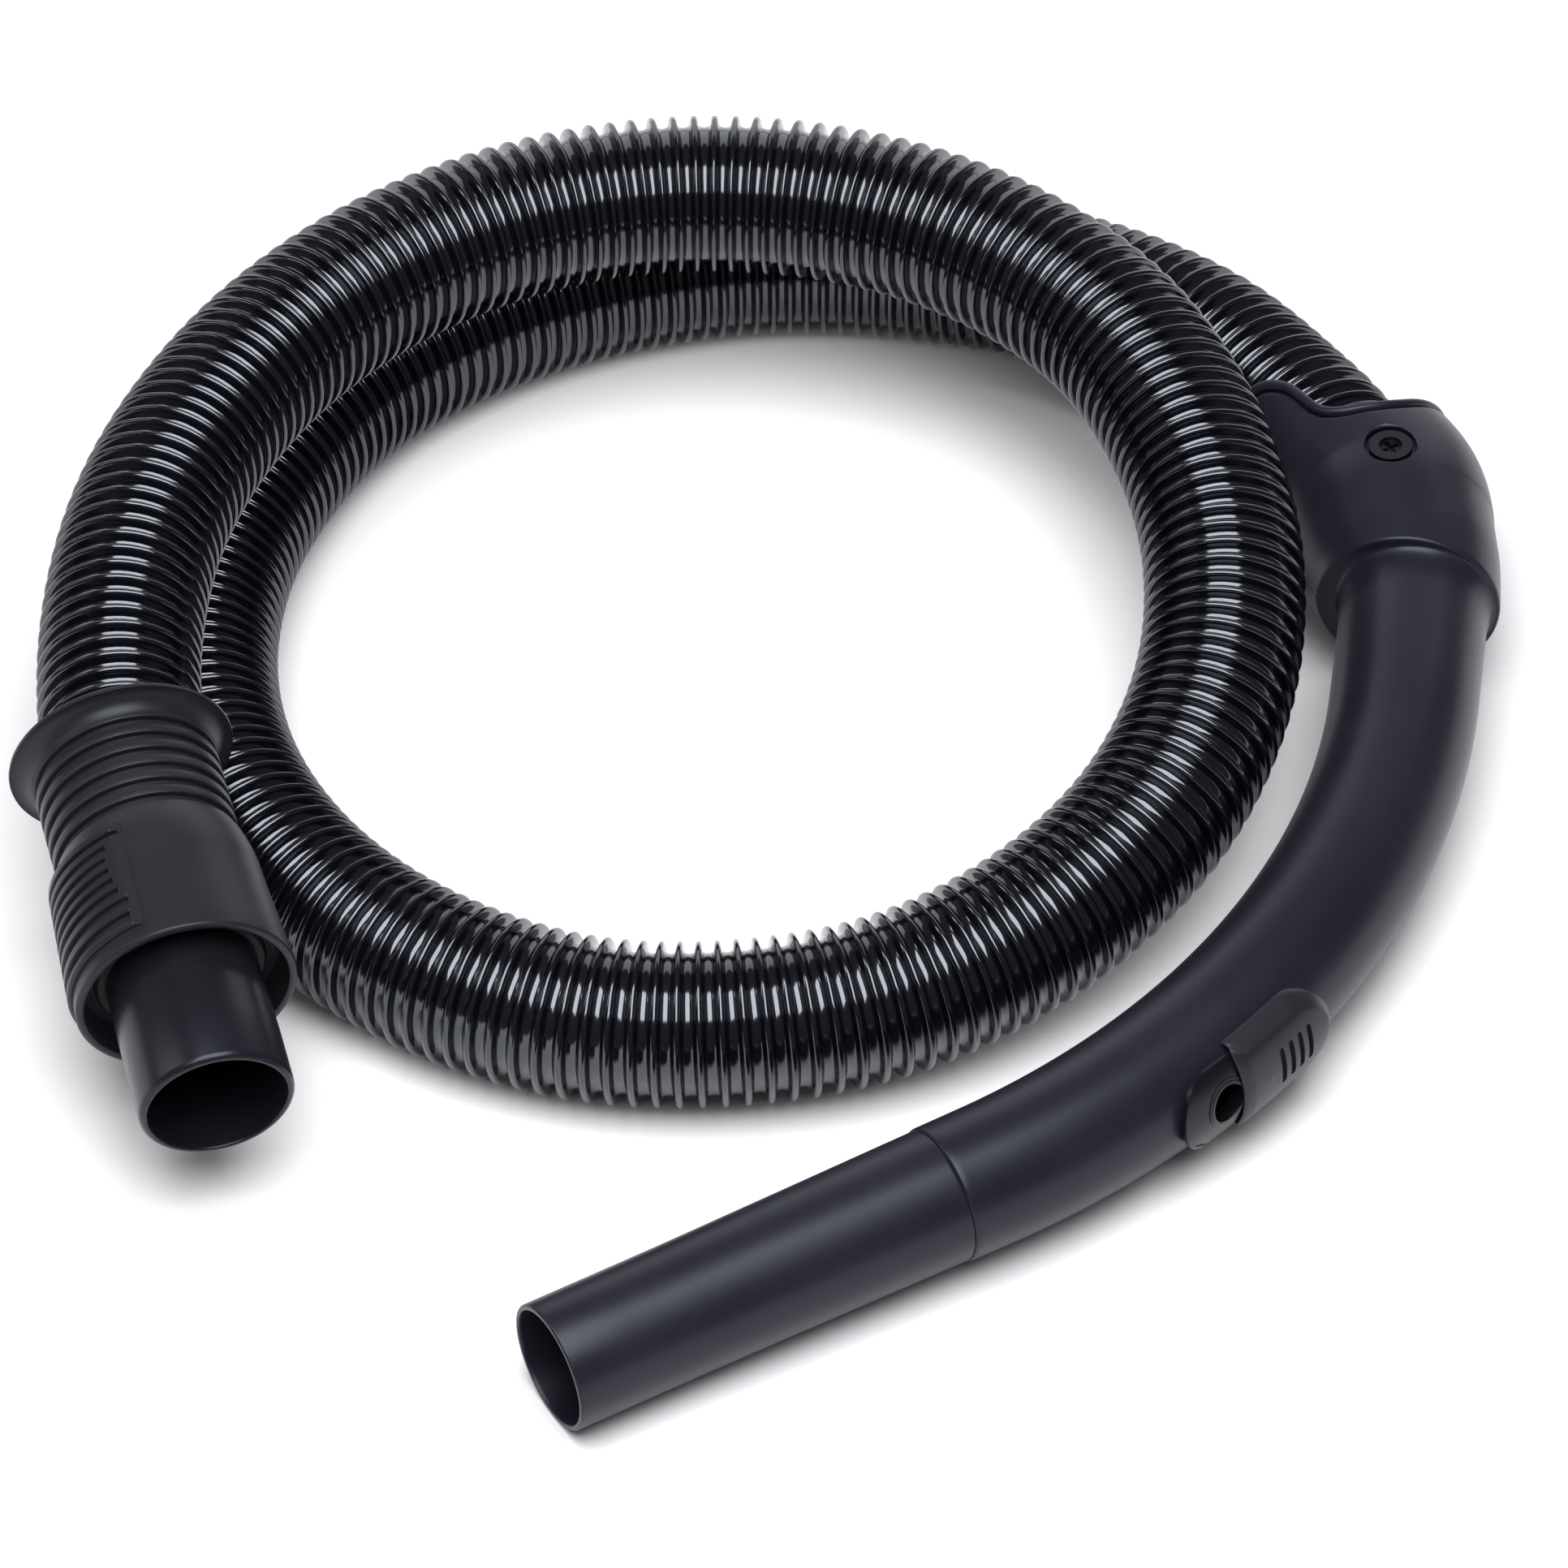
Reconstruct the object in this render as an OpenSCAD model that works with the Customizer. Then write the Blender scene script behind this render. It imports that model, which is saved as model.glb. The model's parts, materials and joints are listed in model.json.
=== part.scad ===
// Suction hose of a household canister vacuum cleaner.
// A corrugated stretch hose lies in a loop and a half on the floor.  One end
// turns in the connector that plugs into the machine, the other turns in the
// clamshell of a bent handle with an air slider and a nose for the wands.
// Millimetres, +Z up, origin on the floor under the middle of the rigid parts.

/* [Hose] */
// Outer diameter over the ribs
hose_od = 40; // [38:0.5:40.5]
// Wall of the hose under its valleys
hose_wall = 1.8; // [1:0.1:3]
// Depth of the valleys between the ribs
rib_depth = 2.2; // [1:0.1:2.6]
// Number of ribs along the hose
rib_count = 196; // [120:2:200]

/* [Machine connector] */
// Distance from the lip of the cuff to the rim of the spigot
connector_len = 107; // [100:1:125]
// Wall of the grooved neck
neck_wall = 1.9; // [1.5:0.1:2.8]
// Width of the trumpet lip beyond the neck
lip_flare = 4.9; // [3.9:0.1:5.1]
// Number of grooves round the neck
groove_count = 6; // [3:1:6]
// Distance of the open skirt's outside from the hose's
skirt_over = 6.9; // [6.4:0.1:8.5]
// Distance from the lip to the edge of the skirt
skirt_end = 74; // [72:0.5:78]
// Distance the spigot's rim lies inside the hose's outside
spigot_step = 1.2; // [0.8:0.1:1.8]
// Wall of the spigot
spigot_wall = 2; // [1.5:0.1:2.6]
// Distance the latch pad stands proud of the cuff
latch_proud = 1.3; // [1.2:0.1:2]
// Number of finger grooves in the latch pad
latch_grooves = 7; // [3:1:7]

/* [Handle] */
// Distance of the clamshell's outside from the hose's
shell_over = 6.5; // [6.3:0.1:7.5]
// Wall of the clamshell
shell_wall = 2.2; // [1.8:0.1:2.6]
// Radius of the handle's long bend
bend_r = 214; // [190:1:240]
// Angle of the handle's long bend
bend_angle = 53; // [45:1:60]
// Outer radius of the grip tube at the clamshell
grip_top_r = 18.4; // [18.2:0.1:18.8]
// Outer radius of the grip tube at the nose joint
grip_end_r = 16.9; // [16.5:0.1:17.4]
// Wall of the grip tube
grip_wall = 2; // [1.6:0.1:2.2]
// Length of the nose tube that shows
nose_len = 105; // [70:1:130]
// Outer radius of the nose at its tip
nose_r = 15.85; // [15.2:0.05:16.2]
// Wall of the nose tube
nose_wall = 2; // [1.5:0.1:2.6]

/* [Air slider] */
// Travel of the air slider from open to closed
slider_travel = 12; // [8:0.5:12]
// Radius of the air hole
air_hole_r = 5; // [3:0.25:5]
// Height of the slider cap over the tube
cap_height = 3.7; // [3.4:0.1:5]

/* [Hidden] */
$fn = 96;
fit_gap = 0.3;        // clearance of parts that turn or slide past each other
slip_gap = 0.1;       // clearance of parts that are pushed together
tiny = 0.01;          // overrun of a cut
beyond = 5;           // how far a larger cut reaches past what it cuts
far = 100;            // half the size of a cut that takes all on one side
round_r = 0.6;        // small moulded edge radius

// ---- sizes that follow the hose ----
hose_r = hose_od / 2;
valley_r = hose_r - rib_depth;
hose_bore = 2 * (valley_r - hose_wall);
neck_bore = hose_r + 0.7;
neck_r = neck_bore + neck_wall;
lip_r = neck_r + lip_flare;
skirt_r = hose_r + skirt_over;
spigot_r = hose_r - spigot_step;
shell_r = hose_r + shell_over;

// Where the two ends lie: the middle of the cuff's lip, and the handle's swivel point.
machine_lip = [-155.5, 14.5, 55.8];
machine_heading = -75.1;
machine_dip = 9.4;
handle_pivot = [141.5, 159, shell_r];
handle_heading = -60;
nose_drop = 10.5;     // the nose tip's axis lies this much lower than the pivot

// ---- hose ----
hose_sides = 8;
bore_rings = 80;
// Hand-laid middle line of the hose between its two straight ends.
hose_route = [
    [-157, 49, 59], [-153, 89, 61], [-141, 127, 61], [-121, 162, 61], [-93, 191, 61],
    [-58, 211, 61], [-19, 219, 61], [21, 214, 61], [57, 196, 61], [86, 168, 59],
    [104, 132, 55], [112, 93, 50], [109, 54, 42], [94, 17, 35], [68, -12, 28],
    [33, -33, 23], [-6, -42, 21], [-46, -39, 20], [-83, -22, 20], [-112, 5, 20],
    [-132, 40, 20], [-141, 79, 20], [-139, 120, 20], [-127, 158, 20], [-106, 192, 20],
    [-75, 218, 20], [-39, 235, 20], [1, 243, 20], [41, 240, 20], [79, 227, 22],
    [111, 203, 25]
];
machine_hose_end = 56;      // depth of the hose's end behind the lip of the cuff
handle_hose_end = 24;       // depth of the hose's end beyond the handle's pivot
end_step = 25;              // spacing of the route's points on the straight ends

function unit(v) = v / norm(v);
function lerp(a, b, t) = a + (b - a) * t;
function smooth(t) = let (c = min(max(t, 0), 1)) c * c * (3 - 2 * c);
function machine_dir() = [cos(machine_heading) * cos(machine_dip),
                          sin(machine_heading) * cos(machine_dip), -sin(machine_dip)];
function handle_dir() = [cos(handle_heading), sin(handle_heading), 0];

// A frame whose z runs along d and whose x points as nearly up as it can.
function frame_at(p, d) =
    let (z = unit(d), x = unit([0, 0, 1] - z[2] * z), y = cross(z, x))
    [[x[0], y[0], z[0], p[0]], [x[1], y[1], z[1], p[1]], [x[2], y[2], z[2], p[2]], [0, 0, 0, 1]];

route = concat(
    [for (i = [0:2]) machine_lip + (machine_hose_end - i * end_step) * machine_dir()],
    hose_route,
    [for (i = [0:2]) handle_pivot + (handle_hose_end - (2 - i) * end_step * 0.75) * handle_dir()]);

// Smooth curve through the route, as a dense list of points.
samples = 8;
last = len(route) - 1;
function knot(i) = i < 0 ? 2 * route[0] - route[1]
                 : i > last ? 2 * route[last] - route[last - 1] : route[i];
function spline(p, q, r, s, t) =
    0.5 * (2 * q + (r - p) * t + (2 * p - 5 * q + 4 * r - s) * t * t
           + (3 * q - p - 3 * r + s) * t * t * t);
function on_floor(p) = [p[0], p[1], max(p[2], hose_r)];
line = [for (i = [0:last - 1], k = [0:samples - 1])
            on_floor(spline(knot(i - 1), knot(i), knot(i + 1), knot(i + 2), k / samples)),
        route[last]];
steps = [for (i = [1:len(line) - 1]) norm(line[i] - line[i - 1])];
run = [for (i = 0, s = 0; i < len(line); s = s + (i < len(steps) ? steps[i] : 0), i = i + 1) s];
hose_len = run[len(run) - 1];
tables = [for (k = [0:2]) [for (i = [0:len(line) - 1]) [run[i], line[i][k]]]];
function hose_point(s) = [for (k = [0:2]) lookup(s, tables[k])];
function hose_tangent(s) =
    unit(hose_point(min(s + 2, hose_len)) - hose_point(max(s - 2, 0)));
function hose_ring(s, r) =
    let (p = hose_point(s), t = hose_tangent(s), side = unit(cross(t, [0, 0, 1])),
         up = cross(side, t))
    [for (k = [0:hose_sides - 1]) let (a = 360 * k / hose_sides)
        p + r * (-cos(a) * up + sin(a) * side)];

// Least gap of the hose to itself, measured on points of its middle line.
gap_points = [for (s = [0:6:hose_len]) hose_point(s)];
apart = 24;
least_gap = min([for (i = [0:len(gap_points) - apart - 1], j = [i + apart:len(gap_points) - 1])
                     norm(gap_points[i] - gap_points[j])]) - hose_od;
echo(hose_length_mm = hose_len, hose_least_gap_to_itself_mm = least_gap);

// Closed solid through a loop of rings that all have the same number of points.
module skin(rings) {
    n = len(rings[0]);
    m = len(rings);
    polyhedron(
        points = [for (ring = rings, p = ring) p],
        faces = [for (i = [0:m - 1], k = [0:n - 1], half = [0, 1])
            let (a = i * n + k, b = i * n + (k + 1) % n,
                 c = ((i + 1) % m) * n + (k + 1) % n, d = ((i + 1) % m) * n + k)
            half == 0 ? [a, b, c] : [a, c, d]]);
}

module hose() {
    pitch = hose_len / rib_count;
    outside = [for (i = [0:2 * rib_count]) let (s = i * pitch / 2)
                  hose_ring(s, i % 2 == 0 ? valley_r : hose_r)];
    inside = [for (i = [bore_rings:-1:0]) hose_ring(hose_len * i / bore_rings, hose_bore / 2)];
    color("#17171a") skin(concat(outside, inside));
}

// ---- parts round the machine end; local z runs from the lip to the spigot, x is up ----
module at_machine() {
    multmatrix(frame_at(machine_lip, machine_dir())) children();
}

ferrule_wall = 2;
ferrule_r = hose_r + ferrule_wall;
ferrule_stop = 2;                       // thickness of the shoulder that the hose ends on
ferrule_land = 0.4;                     // the shoulder's bore stays this far outside the hose's
chamber_r = ferrule_r + fit_gap;
chamber_start = 34;
ring_len = 1.6;
machine_ferrule_start = chamber_start + fit_gap;
machine_ferrule_end = machine_hose_end + ferrule_stop;
swivel_ring_start = machine_ferrule_end + fit_gap;
spigot_root = swivel_ring_start + ring_len;
spigot_plug = 5;
seal_len = 3;

module ring(outer, inner, from, to) {
    translate([0, 0, from]) difference() {
        cylinder(r = outer, h = to - from);
        translate([0, 0, -tiny]) cylinder(r = inner, h = to - from + 2 * tiny);
    }
}

// Sleeve that is screwed on a hose end; it starts at `from` and the hose stops at `stop`.
module ferrule_sleeve(from, stop) {
    difference() {
        translate([0, 0, from]) cylinder(r = ferrule_r, h = stop + ferrule_stop - from);
        translate([0, 0, from - tiny]) cylinder(r = hose_r, h = stop - from + tiny);
        translate([0, 0, from - tiny]) cylinder(r = hose_bore / 2 + ferrule_land, h = far);
    }
}

module machine_ferrule() {
    color("#2b2b2f") at_machine() ferrule_sleeve(machine_ferrule_start, machine_hose_end);
}

module machine_swivel_ring() {
    color("#d8d6cf") at_machine()
        ring(chamber_r - slip_gap / 2, hose_bore / 2 + 1, swivel_ring_start, spigot_root);
}

neck_end = 33;
groove_w = 1.9;
groove_depth = 0.9;
groove_first = 7;
groove_pitch = 4.7;
flare_end = 6.2;
lip_thick = 1.7;
lip_round = 0.5;
shoulder_end = 48;
shoulder_r = skirt_r - 1.8;
body_curve = [for (i = [0:8]) let (t = i / 8)
                 [lerp(neck_r, shoulder_r, smooth(sqrt(t))), lerp(neck_end, shoulder_end, t)]];
function body_r(t) = lerp(shoulder_r, skirt_r, (t - shoulder_end) / (skirt_end - shoulder_end));
flare_curve = [for (i = [0:8]) let (a = 90 * i / 8)
                  [neck_r + (lip_r - neck_r) * (1 - sin(a)),
                   lip_thick + (flare_end - lip_thick) * (1 - cos(a))]];
trumpet_depth = 12;
trumpet_curve = [for (i = [0:8]) let (a = 90 * i / 8)
                    [neck_bore + (lip_r - lip_thick * 2 - neck_bore) * (1 - cos(a)),
                     trumpet_depth * (1 - sin(a))]];
skirt_bore = skirt_r - 2.2;
skirt_start = spigot_root + spigot_plug;

// Latch: a curved pad in a recess of the cuff, rocking on a pin.
latch_angle = 90;                      // round the cuff, counted from the top
latch_half = 62;                       // half its span round the cuff
latch_from = 37.6;
latch_to = 69.4;
recess_r = chamber_r + 0.8;            // floor of the recess
recess_step = skirt_start + 1;         // from here on the floor lies over the open skirt
step_r = skirt_bore + 0.5;
press_gap = 1.2;                       // room to press the pad's back in
recess_gap = 1;                        // gap at the pad's two ends
recess_turn = 2;                       // gap at the pad's two sides, in degrees
pad_r = recess_r + press_gap;
pin_t = 53;
pin_r = 0.75;
pin_y = recess_r + 1.3;
pin_half = 6;
post_w = 4.6;
post_from = -2.5;
post_to = 0.6;
window_from = post_from - fit_gap;     // window of the pad round the post and the spring
window_to = 3.4;
window_w = post_w + 1.6;
post_top = pin_y + pin_r + 0.35;
window_top = post_top + 0.25;
pad_edge = 0.8;                        // chamfer of the pad's edges
pad_fall = 0.4;                        // the pad stands this much less proud at its front
finger_first = 3.4;                    // finger grooves: place, width, depth and free side
finger_end = 5;
finger_w = 1.5;
finger_cut = 0.7;
finger_side = 6;

module pie(r, from_a, to_a, from, to) {
    translate([0, 0, from]) rotate([0, 0, from_a])
        rotate_extrude(angle = to_a - from_a) square([r, to - from]);
}

module cuff() {
    color("#3b3c43") at_machine() difference() {
        union() {
            difference() {
                rotate_extrude() polygon(concat(
                    [[lip_r - lip_thick, 0], [lip_r - lip_round, lip_round * 0.7],
                     [lip_r, lip_thick * 0.6]],
                    flare_curve, body_curve,
                    [[skirt_r, skirt_end - round_r], [skirt_r - round_r, skirt_end],
                     [skirt_bore, skirt_end], [skirt_bore - 0.4, skirt_start],
                     [chamber_r, skirt_start], [chamber_r, chamber_start],
                     [neck_bore, chamber_start]],
                    trumpet_curve));
                for (i = [0:groove_count - 1])
                    ring(lip_r, neck_r - groove_depth, groove_first + i * groove_pitch,
                         groove_first + i * groove_pitch + groove_w);
                latch_recess();
            }
            latch_post();
        }
        at_pin() cylinder(r = pin_r, h = 4 * pin_half, center = true);
    }
}

module latch_recess() {
    difference() {
        pie(skirt_r + beyond, latch_angle - latch_half - recess_turn,
            latch_angle + latch_half + recess_turn, latch_from - recess_gap, latch_to + recess_gap);
        cylinder(r = recess_r, h = recess_step);
        translate([0, 0, recess_step - tiny]) cylinder(r = step_r, h = skirt_end);
    }
}

// The pin lies across the pad, along local x.
module at_pin() {
    translate([0, pin_y, pin_t]) rotate([0, 90, 0]) children();
}

module latch_post() {
    foot = chamber_r + 0.4;
    translate([post_from, foot, pin_t - post_w / 2])
        cube([post_to - post_from, post_top - foot, post_w]);
}

module latch() {
    pad_back = body_r(latch_from) + latch_proud;
    pad_front = skirt_r + latch_proud - pad_fall;
    finger_step = (latch_to - latch_from - finger_end) / latch_grooves;
    color("#34353b") at_machine() difference() {
        intersection() {
            rotate_extrude() polygon([
                [pad_r, latch_from], [pad_back - pad_edge, latch_from],
                [pad_back, latch_from + pad_edge], [pad_front, latch_to - pad_edge],
                [pad_front - pad_edge, latch_to],
                [step_r + fit_gap, latch_to], [step_r + fit_gap, recess_step - 1],
                [pad_r, recess_step - 3]]);
            pie(skirt_r + beyond, latch_angle - latch_half, latch_angle + latch_half,
                latch_from - beyond, latch_to + beyond);
        }
        for (i = [0:latch_grooves - 1])
            let (t = latch_from + finger_first + i * finger_step,
                 r = lerp(pad_back, pad_front, (t - latch_from) / (latch_to - latch_from)))
            difference() {
                pie(skirt_r + beyond, latch_angle - latch_half + finger_side,
                    latch_angle + latch_half + 1, t, t + finger_w);
                translate([0, 0, t - finger_w])
                    cylinder(r = r - finger_cut, h = 3 * finger_w);
            }
        translate([window_from, 0, pin_t - window_w / 2])
            cube([window_to - window_from, window_top, window_w]);
        at_pin() cylinder(r = pin_r + 0.05, h = 2 * pin_half + 1, center = true);
    }
}

module latch_pin() {
    color("#c9ccd1") at_machine() at_pin() cylinder(r = pin_r, h = 2 * pin_half, center = true);
}

// Torsion spring: two and a half turns beside the post.  One leg stands on the floor of the
// recess, the other bears on the end of the pad's window.
spring_wire = 0.2;
spring_turns = 2.5;
spring_steps = 30;
spring_r = pin_r + 0.05 + spring_wire;
spring_x = 0.9;
spring_pitch = 0.62;
spring_line = concat(
    [[spring_x, recess_r + spring_wire + 0.05, pin_t - 5.5]],
    [for (i = [0:spring_steps]) let (a = 360 * spring_turns * i / spring_steps)
        [spring_x + spring_pitch * spring_turns * i / spring_steps,
         pin_y - spring_r * cos(a), pin_t + spring_r * sin(a)]],
    [[spring_x + spring_pitch * spring_turns, pin_y + spring_r - 0.3,
      pin_t - window_w / 2 + spring_wire + 0.05]]);

// Round wire along a list of points.
function wire_rings(p, r, n) =
    [for (i = [0:len(p) - 1])
        let (t = unit(p[min(i + 1, len(p) - 1)] - p[max(i - 1, 0)]),
             a = unit(cross(t, [1, 0.01, 0.02])), b = cross(t, a))
        [for (k = [0:n - 1]) p[i] + r * (cos(360 * k / n) * a + sin(360 * k / n) * b)]];

module wire(p, r, n) {
    rings = wire_rings(p, r, n);
    m = len(rings);
    polyhedron(
        points = [for (ring = rings, q = ring) q],
        faces = concat(
            [for (i = [0:m - 2], k = [0:n - 1], half = [0, 1])
                let (a = i * n + k, b = i * n + (k + 1) % n,
                     c = (i + 1) * n + (k + 1) % n, d = (i + 1) * n + k)
                half == 0 ? [a, c, b] : [a, d, c]],
            [for (k = [1:n - 2]) [0, k, k + 1]],
            [for (k = [1:n - 2]) [(m - 1) * n, (m - 1) * n + k + 1, (m - 1) * n + k]]));
}

module latch_spring() {
    color("#b9bcc2") at_machine() wire(spring_line, spring_wire, 6);
}

spigot_root_r = spigot_r - 0.5;
spigot_taper = 16;                     // length of its straight, sized stretch
spigot_chamfer = 1.2;
inner_chamfer = 0.5;

module spigot() {
    color("#2f3036") at_machine() rotate_extrude() polygon([
        [spigot_r - spigot_wall, connector_len - inner_chamfer],
        [spigot_r - spigot_wall + inner_chamfer, connector_len],
        [spigot_r - spigot_chamfer, connector_len],
        [spigot_r, connector_len - spigot_chamfer],
        [spigot_r, connector_len - spigot_taper],
        [spigot_root_r, spigot_root + spigot_plug],
        [chamber_r - slip_gap / 2, spigot_root + spigot_plug],
        [chamber_r - slip_gap / 2, spigot_root],
        [spigot_r - spigot_wall, spigot_root]]);
}

module spigot_seal() {
    seal_r = chamber_r - 0.6;
    bore = spigot_root_r + 0.12;
    base = spigot_root + spigot_plug;
    color("#0e0e10") at_machine() difference() {
        rotate_extrude() polygon([
            [bore, base], [seal_r, base], [seal_r, base + seal_len * 0.4],
            [seal_r - 1.6, base + seal_len], [bore, base + seal_len]]);
        translate([0, 0, base + seal_len * 0.45]) ring(seal_r + 1, seal_r - 0.7, 0, 0.6);
    }
}

// ---- handle; local x runs out of the hose, -y towards the nose, z up ----
corner_x = 43.7;                       // where the hose's axis meets the shank's axis
elbow_angle = 90 - bend_angle;
elbow_start = 30;
elbow_r = (corner_x - elbow_start) / tan(elbow_angle / 2);
shank_len = 54.6;                      // from that corner to the long bend
tail_len = 12.5;                       // straight stretch of the grip tube at the nose joint
tube_start = 26.6;
bend_start = [corner_x + shank_len * cos(elbow_angle), -shank_len * sin(elbow_angle)];
bend_centre = bend_start - bend_r * [sin(elbow_angle), cos(elbow_angle)];
nose_x = bend_centre[0] + bend_r;
joint_y = bend_centre[1] - tail_len;
tip_y = joint_y - nose_len;
handle_tilt = asin(nose_drop / -tip_y);

module at_handle() {
    translate(handle_pivot) rotate([handle_tilt, 0, handle_heading]) children();
}
module along_hose() {
    rotate([0, 90, 0]) children();
}

module handle_ferrule() {
    color("#2b2b2f") at_handle() along_hose() {
        ferrule_sleeve(ferrule_start, handle_hose_end);
        ring(flange_r, ferrule_r - tiny, flange_x, flange_x + flange_w);
    }
}

// S-shaped mouth of the clamshell: it reaches further back on the inner side.
lip_x = 12;
tongue_x = -12;
lip_turn = -12.5;
lip_turn_w = 8;
ferrule_start = lip_x + 1.8;
flange_x = 18;
flange_w = 2.2;
flange_r = ferrule_r + 0.9;
collar_r = flange_r + fit_gap + 0.6;
collar_end = lip_x + 3.8;
mouth_edge = [for (i = [0:12]) let (t = i / 12)
                 [lerp(tongue_x, lip_x, smooth(t)), lip_turn + lip_turn_w * t]];

module mouth_cut(back) {
    translate([back, 0, -far]) linear_extrude(height = 2 * far)
        polygon(concat([[-far, far], [-far, -far], [tongue_x, -far]], mouth_edge, [[lip_x, far]]));
}

// The clamshell from the hose to the grip tube: x and y of its middle line, and by how much
// its radius differs from shell_r.
shell_line = [
    [-16, 0, -0.2], [0, 0.2, 0], [13, 1, 0], [25, 0.6, 0], [37, -4.4, -0.3],
    [50.5, -8.9, -2.6], [63.2, -15, -4.8], [74.4, -23.1, -5.2], [85.6, -31.6, -5.5]
];
shell_steps = 2;                       // rings between two points of that line
shell_sides = 48;
mouth_s = 20.3;                        // how far along the shank the dished mouth lies

function shell_knot(i) = let (n = len(shell_line) - 1)
    i < 0 ? 2 * shell_line[0] - shell_line[1]
    : i > n ? 2 * shell_line[n] - shell_line[n - 1] : shell_line[i];
function shell_at(u) = let (i = min(floor(u), len(shell_line) - 2))
    spline(shell_knot(i - 1), shell_knot(i), shell_knot(i + 1), shell_knot(i + 2), u - i);
function shell_ring(u, inset) =
    let (p = shell_at(u), d = shell_at(u + 0.05) - shell_at(u - 0.05),
         n = unit([-d[1], d[0]]), r = shell_r + p[2] - inset)
    [for (k = [0:shell_sides - 1]) let (a = 360 * (k + 0.5) / shell_sides)
        [p[0] + r * cos(a) * n[0], p[1] + r * cos(a) * n[1], r * sin(a)]];
function shell_rings(inset) =
    [for (i = [0:(len(shell_line) - 1) * shell_steps]) shell_ring(i / shell_steps, inset)];

module behind_mouth() {
    at_shank(mouth_s) translate([-far, -far, -2 * far]) cube(2 * far);
}

// Straight line of the shank, measured from the corner.
module at_shank(s) {
    translate([corner_x, 0, 0]) rotate([0, 90, -elbow_angle]) translate([0, 0, s]) children();
}

screw_x = 30.4;
screw_y = -1;
screw_head_r = 5.4;
screw_head_h = 1.9;
screw_r = 2;
well_r = 6.6;
well_floor = 1.6;
well_wall = 1;
well_top = 1.6;                        // the well's rim lies this much under the shell's crown
screw_len = 3.4;                       // the screw's thread in the boss
drive_r = 2.9;                         // round drive with a cross in its floor
drive_floor = 0.8;
slot_len = 4.6;
slot_w = 1.2;
slot_cut = 0.9;
cover_back = 2.2;                      // the cover's edge lies this far behind the base's lip
boss_r = 3.7;
boss_top = ferrule_r + fit_gap;
groove_end = flange_x + flange_w + fit_gap;
rib_w = 1.6;
sleeve_start = -15;                    // sleeve inside the shell round the hose
sleeve_inset = 1.5;
socket_wall = 2.7;                     // socket round the grip tube
socket_len = 30;
socket_back = 6.5;                     // the socket starts this far behind the dished mouth
dish_depth = 7;                        // dished mouth round the grip tube
dish_rim = 1.1;                        // rim that is left round the dish
parting = 0.05;                        // each half stops this far from the parting plane

// Room for the ferrule, up to the grip tube's end.
module ferrule_room() {
    along_hose() translate([0, 0, ferrule_start - fit_gap - 0.1])
        cylinder(r = ferrule_r + fit_gap, h = tube_start - 0.1 - ferrule_start);
}

module shell_body() {
    dish_r = shell_r + shell_line[6][2] - dish_rim;
    difference() {
        intersection() {
            union() {
                skin(concat(backwards(shell_rings(0)), shell_rings(shell_wall)));
                along_hose()
                    ring(shell_r - sleeve_inset, neck_bore, sleeve_start, groove_end + rib_w);
                at_shank(mouth_s - socket_back)
                    cylinder(r = grip_top_r + socket_wall, h = socket_len);
            }
            behind_mouth();
        }
        // room for the ferrule and its flange
        ferrule_room();
        along_hose() translate([0, 0, flange_x - fit_gap])
            cylinder(r = flange_r + fit_gap, h = flange_w + 2 * fit_gap);
        // room for the grip tube, with a dished mouth
        at_shank(-1) cylinder(r = grip_top_r + slip_gap, h = far);
        at_shank(mouth_s - dish_depth)
            cylinder(r1 = grip_top_r, r2 = dish_r, h = dish_depth + tiny);
    }
}

module shell_cover() {
    color("#3d3e45") at_handle() difference() {
        union() {
            difference() {
                intersection() {
                    shell_body();
                    translate([-far, -far, parting]) cube([3 * far, 2 * far, far]);
                }
                mouth_cut(cover_back);
                along_hose() translate([0, 0, -far])
                    cylinder(r = collar_r + slip_gap, h = far + collar_end + fit_gap);
            }
            translate([screw_x, screw_y, boss_top + slip_gap])
                cylinder(r = well_r + well_wall, h = shell_r - well_top - boss_top);
        }
        translate([screw_x, screw_y, boss_top + well_floor]) cylinder(r = well_r, h = shell_r);
        translate([screw_x, screw_y, boss_top - beyond])
            cylinder(r = screw_r + 0.25, h = shell_r);
    }
}

module shell_base() {
    color("#3a3b42") at_handle() difference() {
        union() {
            intersection() {
                shell_body();
                translate([-far, -far, -far]) cube([3 * far, 2 * far, far - parting]);
            }
            along_hose() ring(collar_r, neck_bore, sleeve_start + 1, collar_end);
        }
        mouth_cut(0);
        ferrule_room();
    }
}

module cover_screw() {
    color("#54565e") at_handle() translate([screw_x, screw_y, 0]) difference() {
        union() {
            translate([0, 0, boss_top + well_floor]) cylinder(r = screw_head_r, h = screw_head_h);
            translate([0, 0, boss_top - screw_len])
                cylinder(r = screw_r, h = screw_len + well_floor + tiny);
        }
        translate([0, 0, boss_top + well_floor + drive_floor]) {
            cylinder(r = drive_r, h = beyond);
            translate([-slot_len / 2, -slot_w / 2, -slot_cut]) cube([slot_len, slot_w, beyond]);
            translate([-slot_w / 2, -slot_len / 2, -slot_cut]) cube([slot_w, slot_len, beyond]);
        }
    }
}

module tube_seal() {
    color("#0e0e10") at_handle() along_hose()
        ring(grip_top_r + 0.8, hose_bore / 2 + 0.6, handle_hose_end + ferrule_stop + slip_gap,
             tube_start - slip_gap);
}

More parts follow.
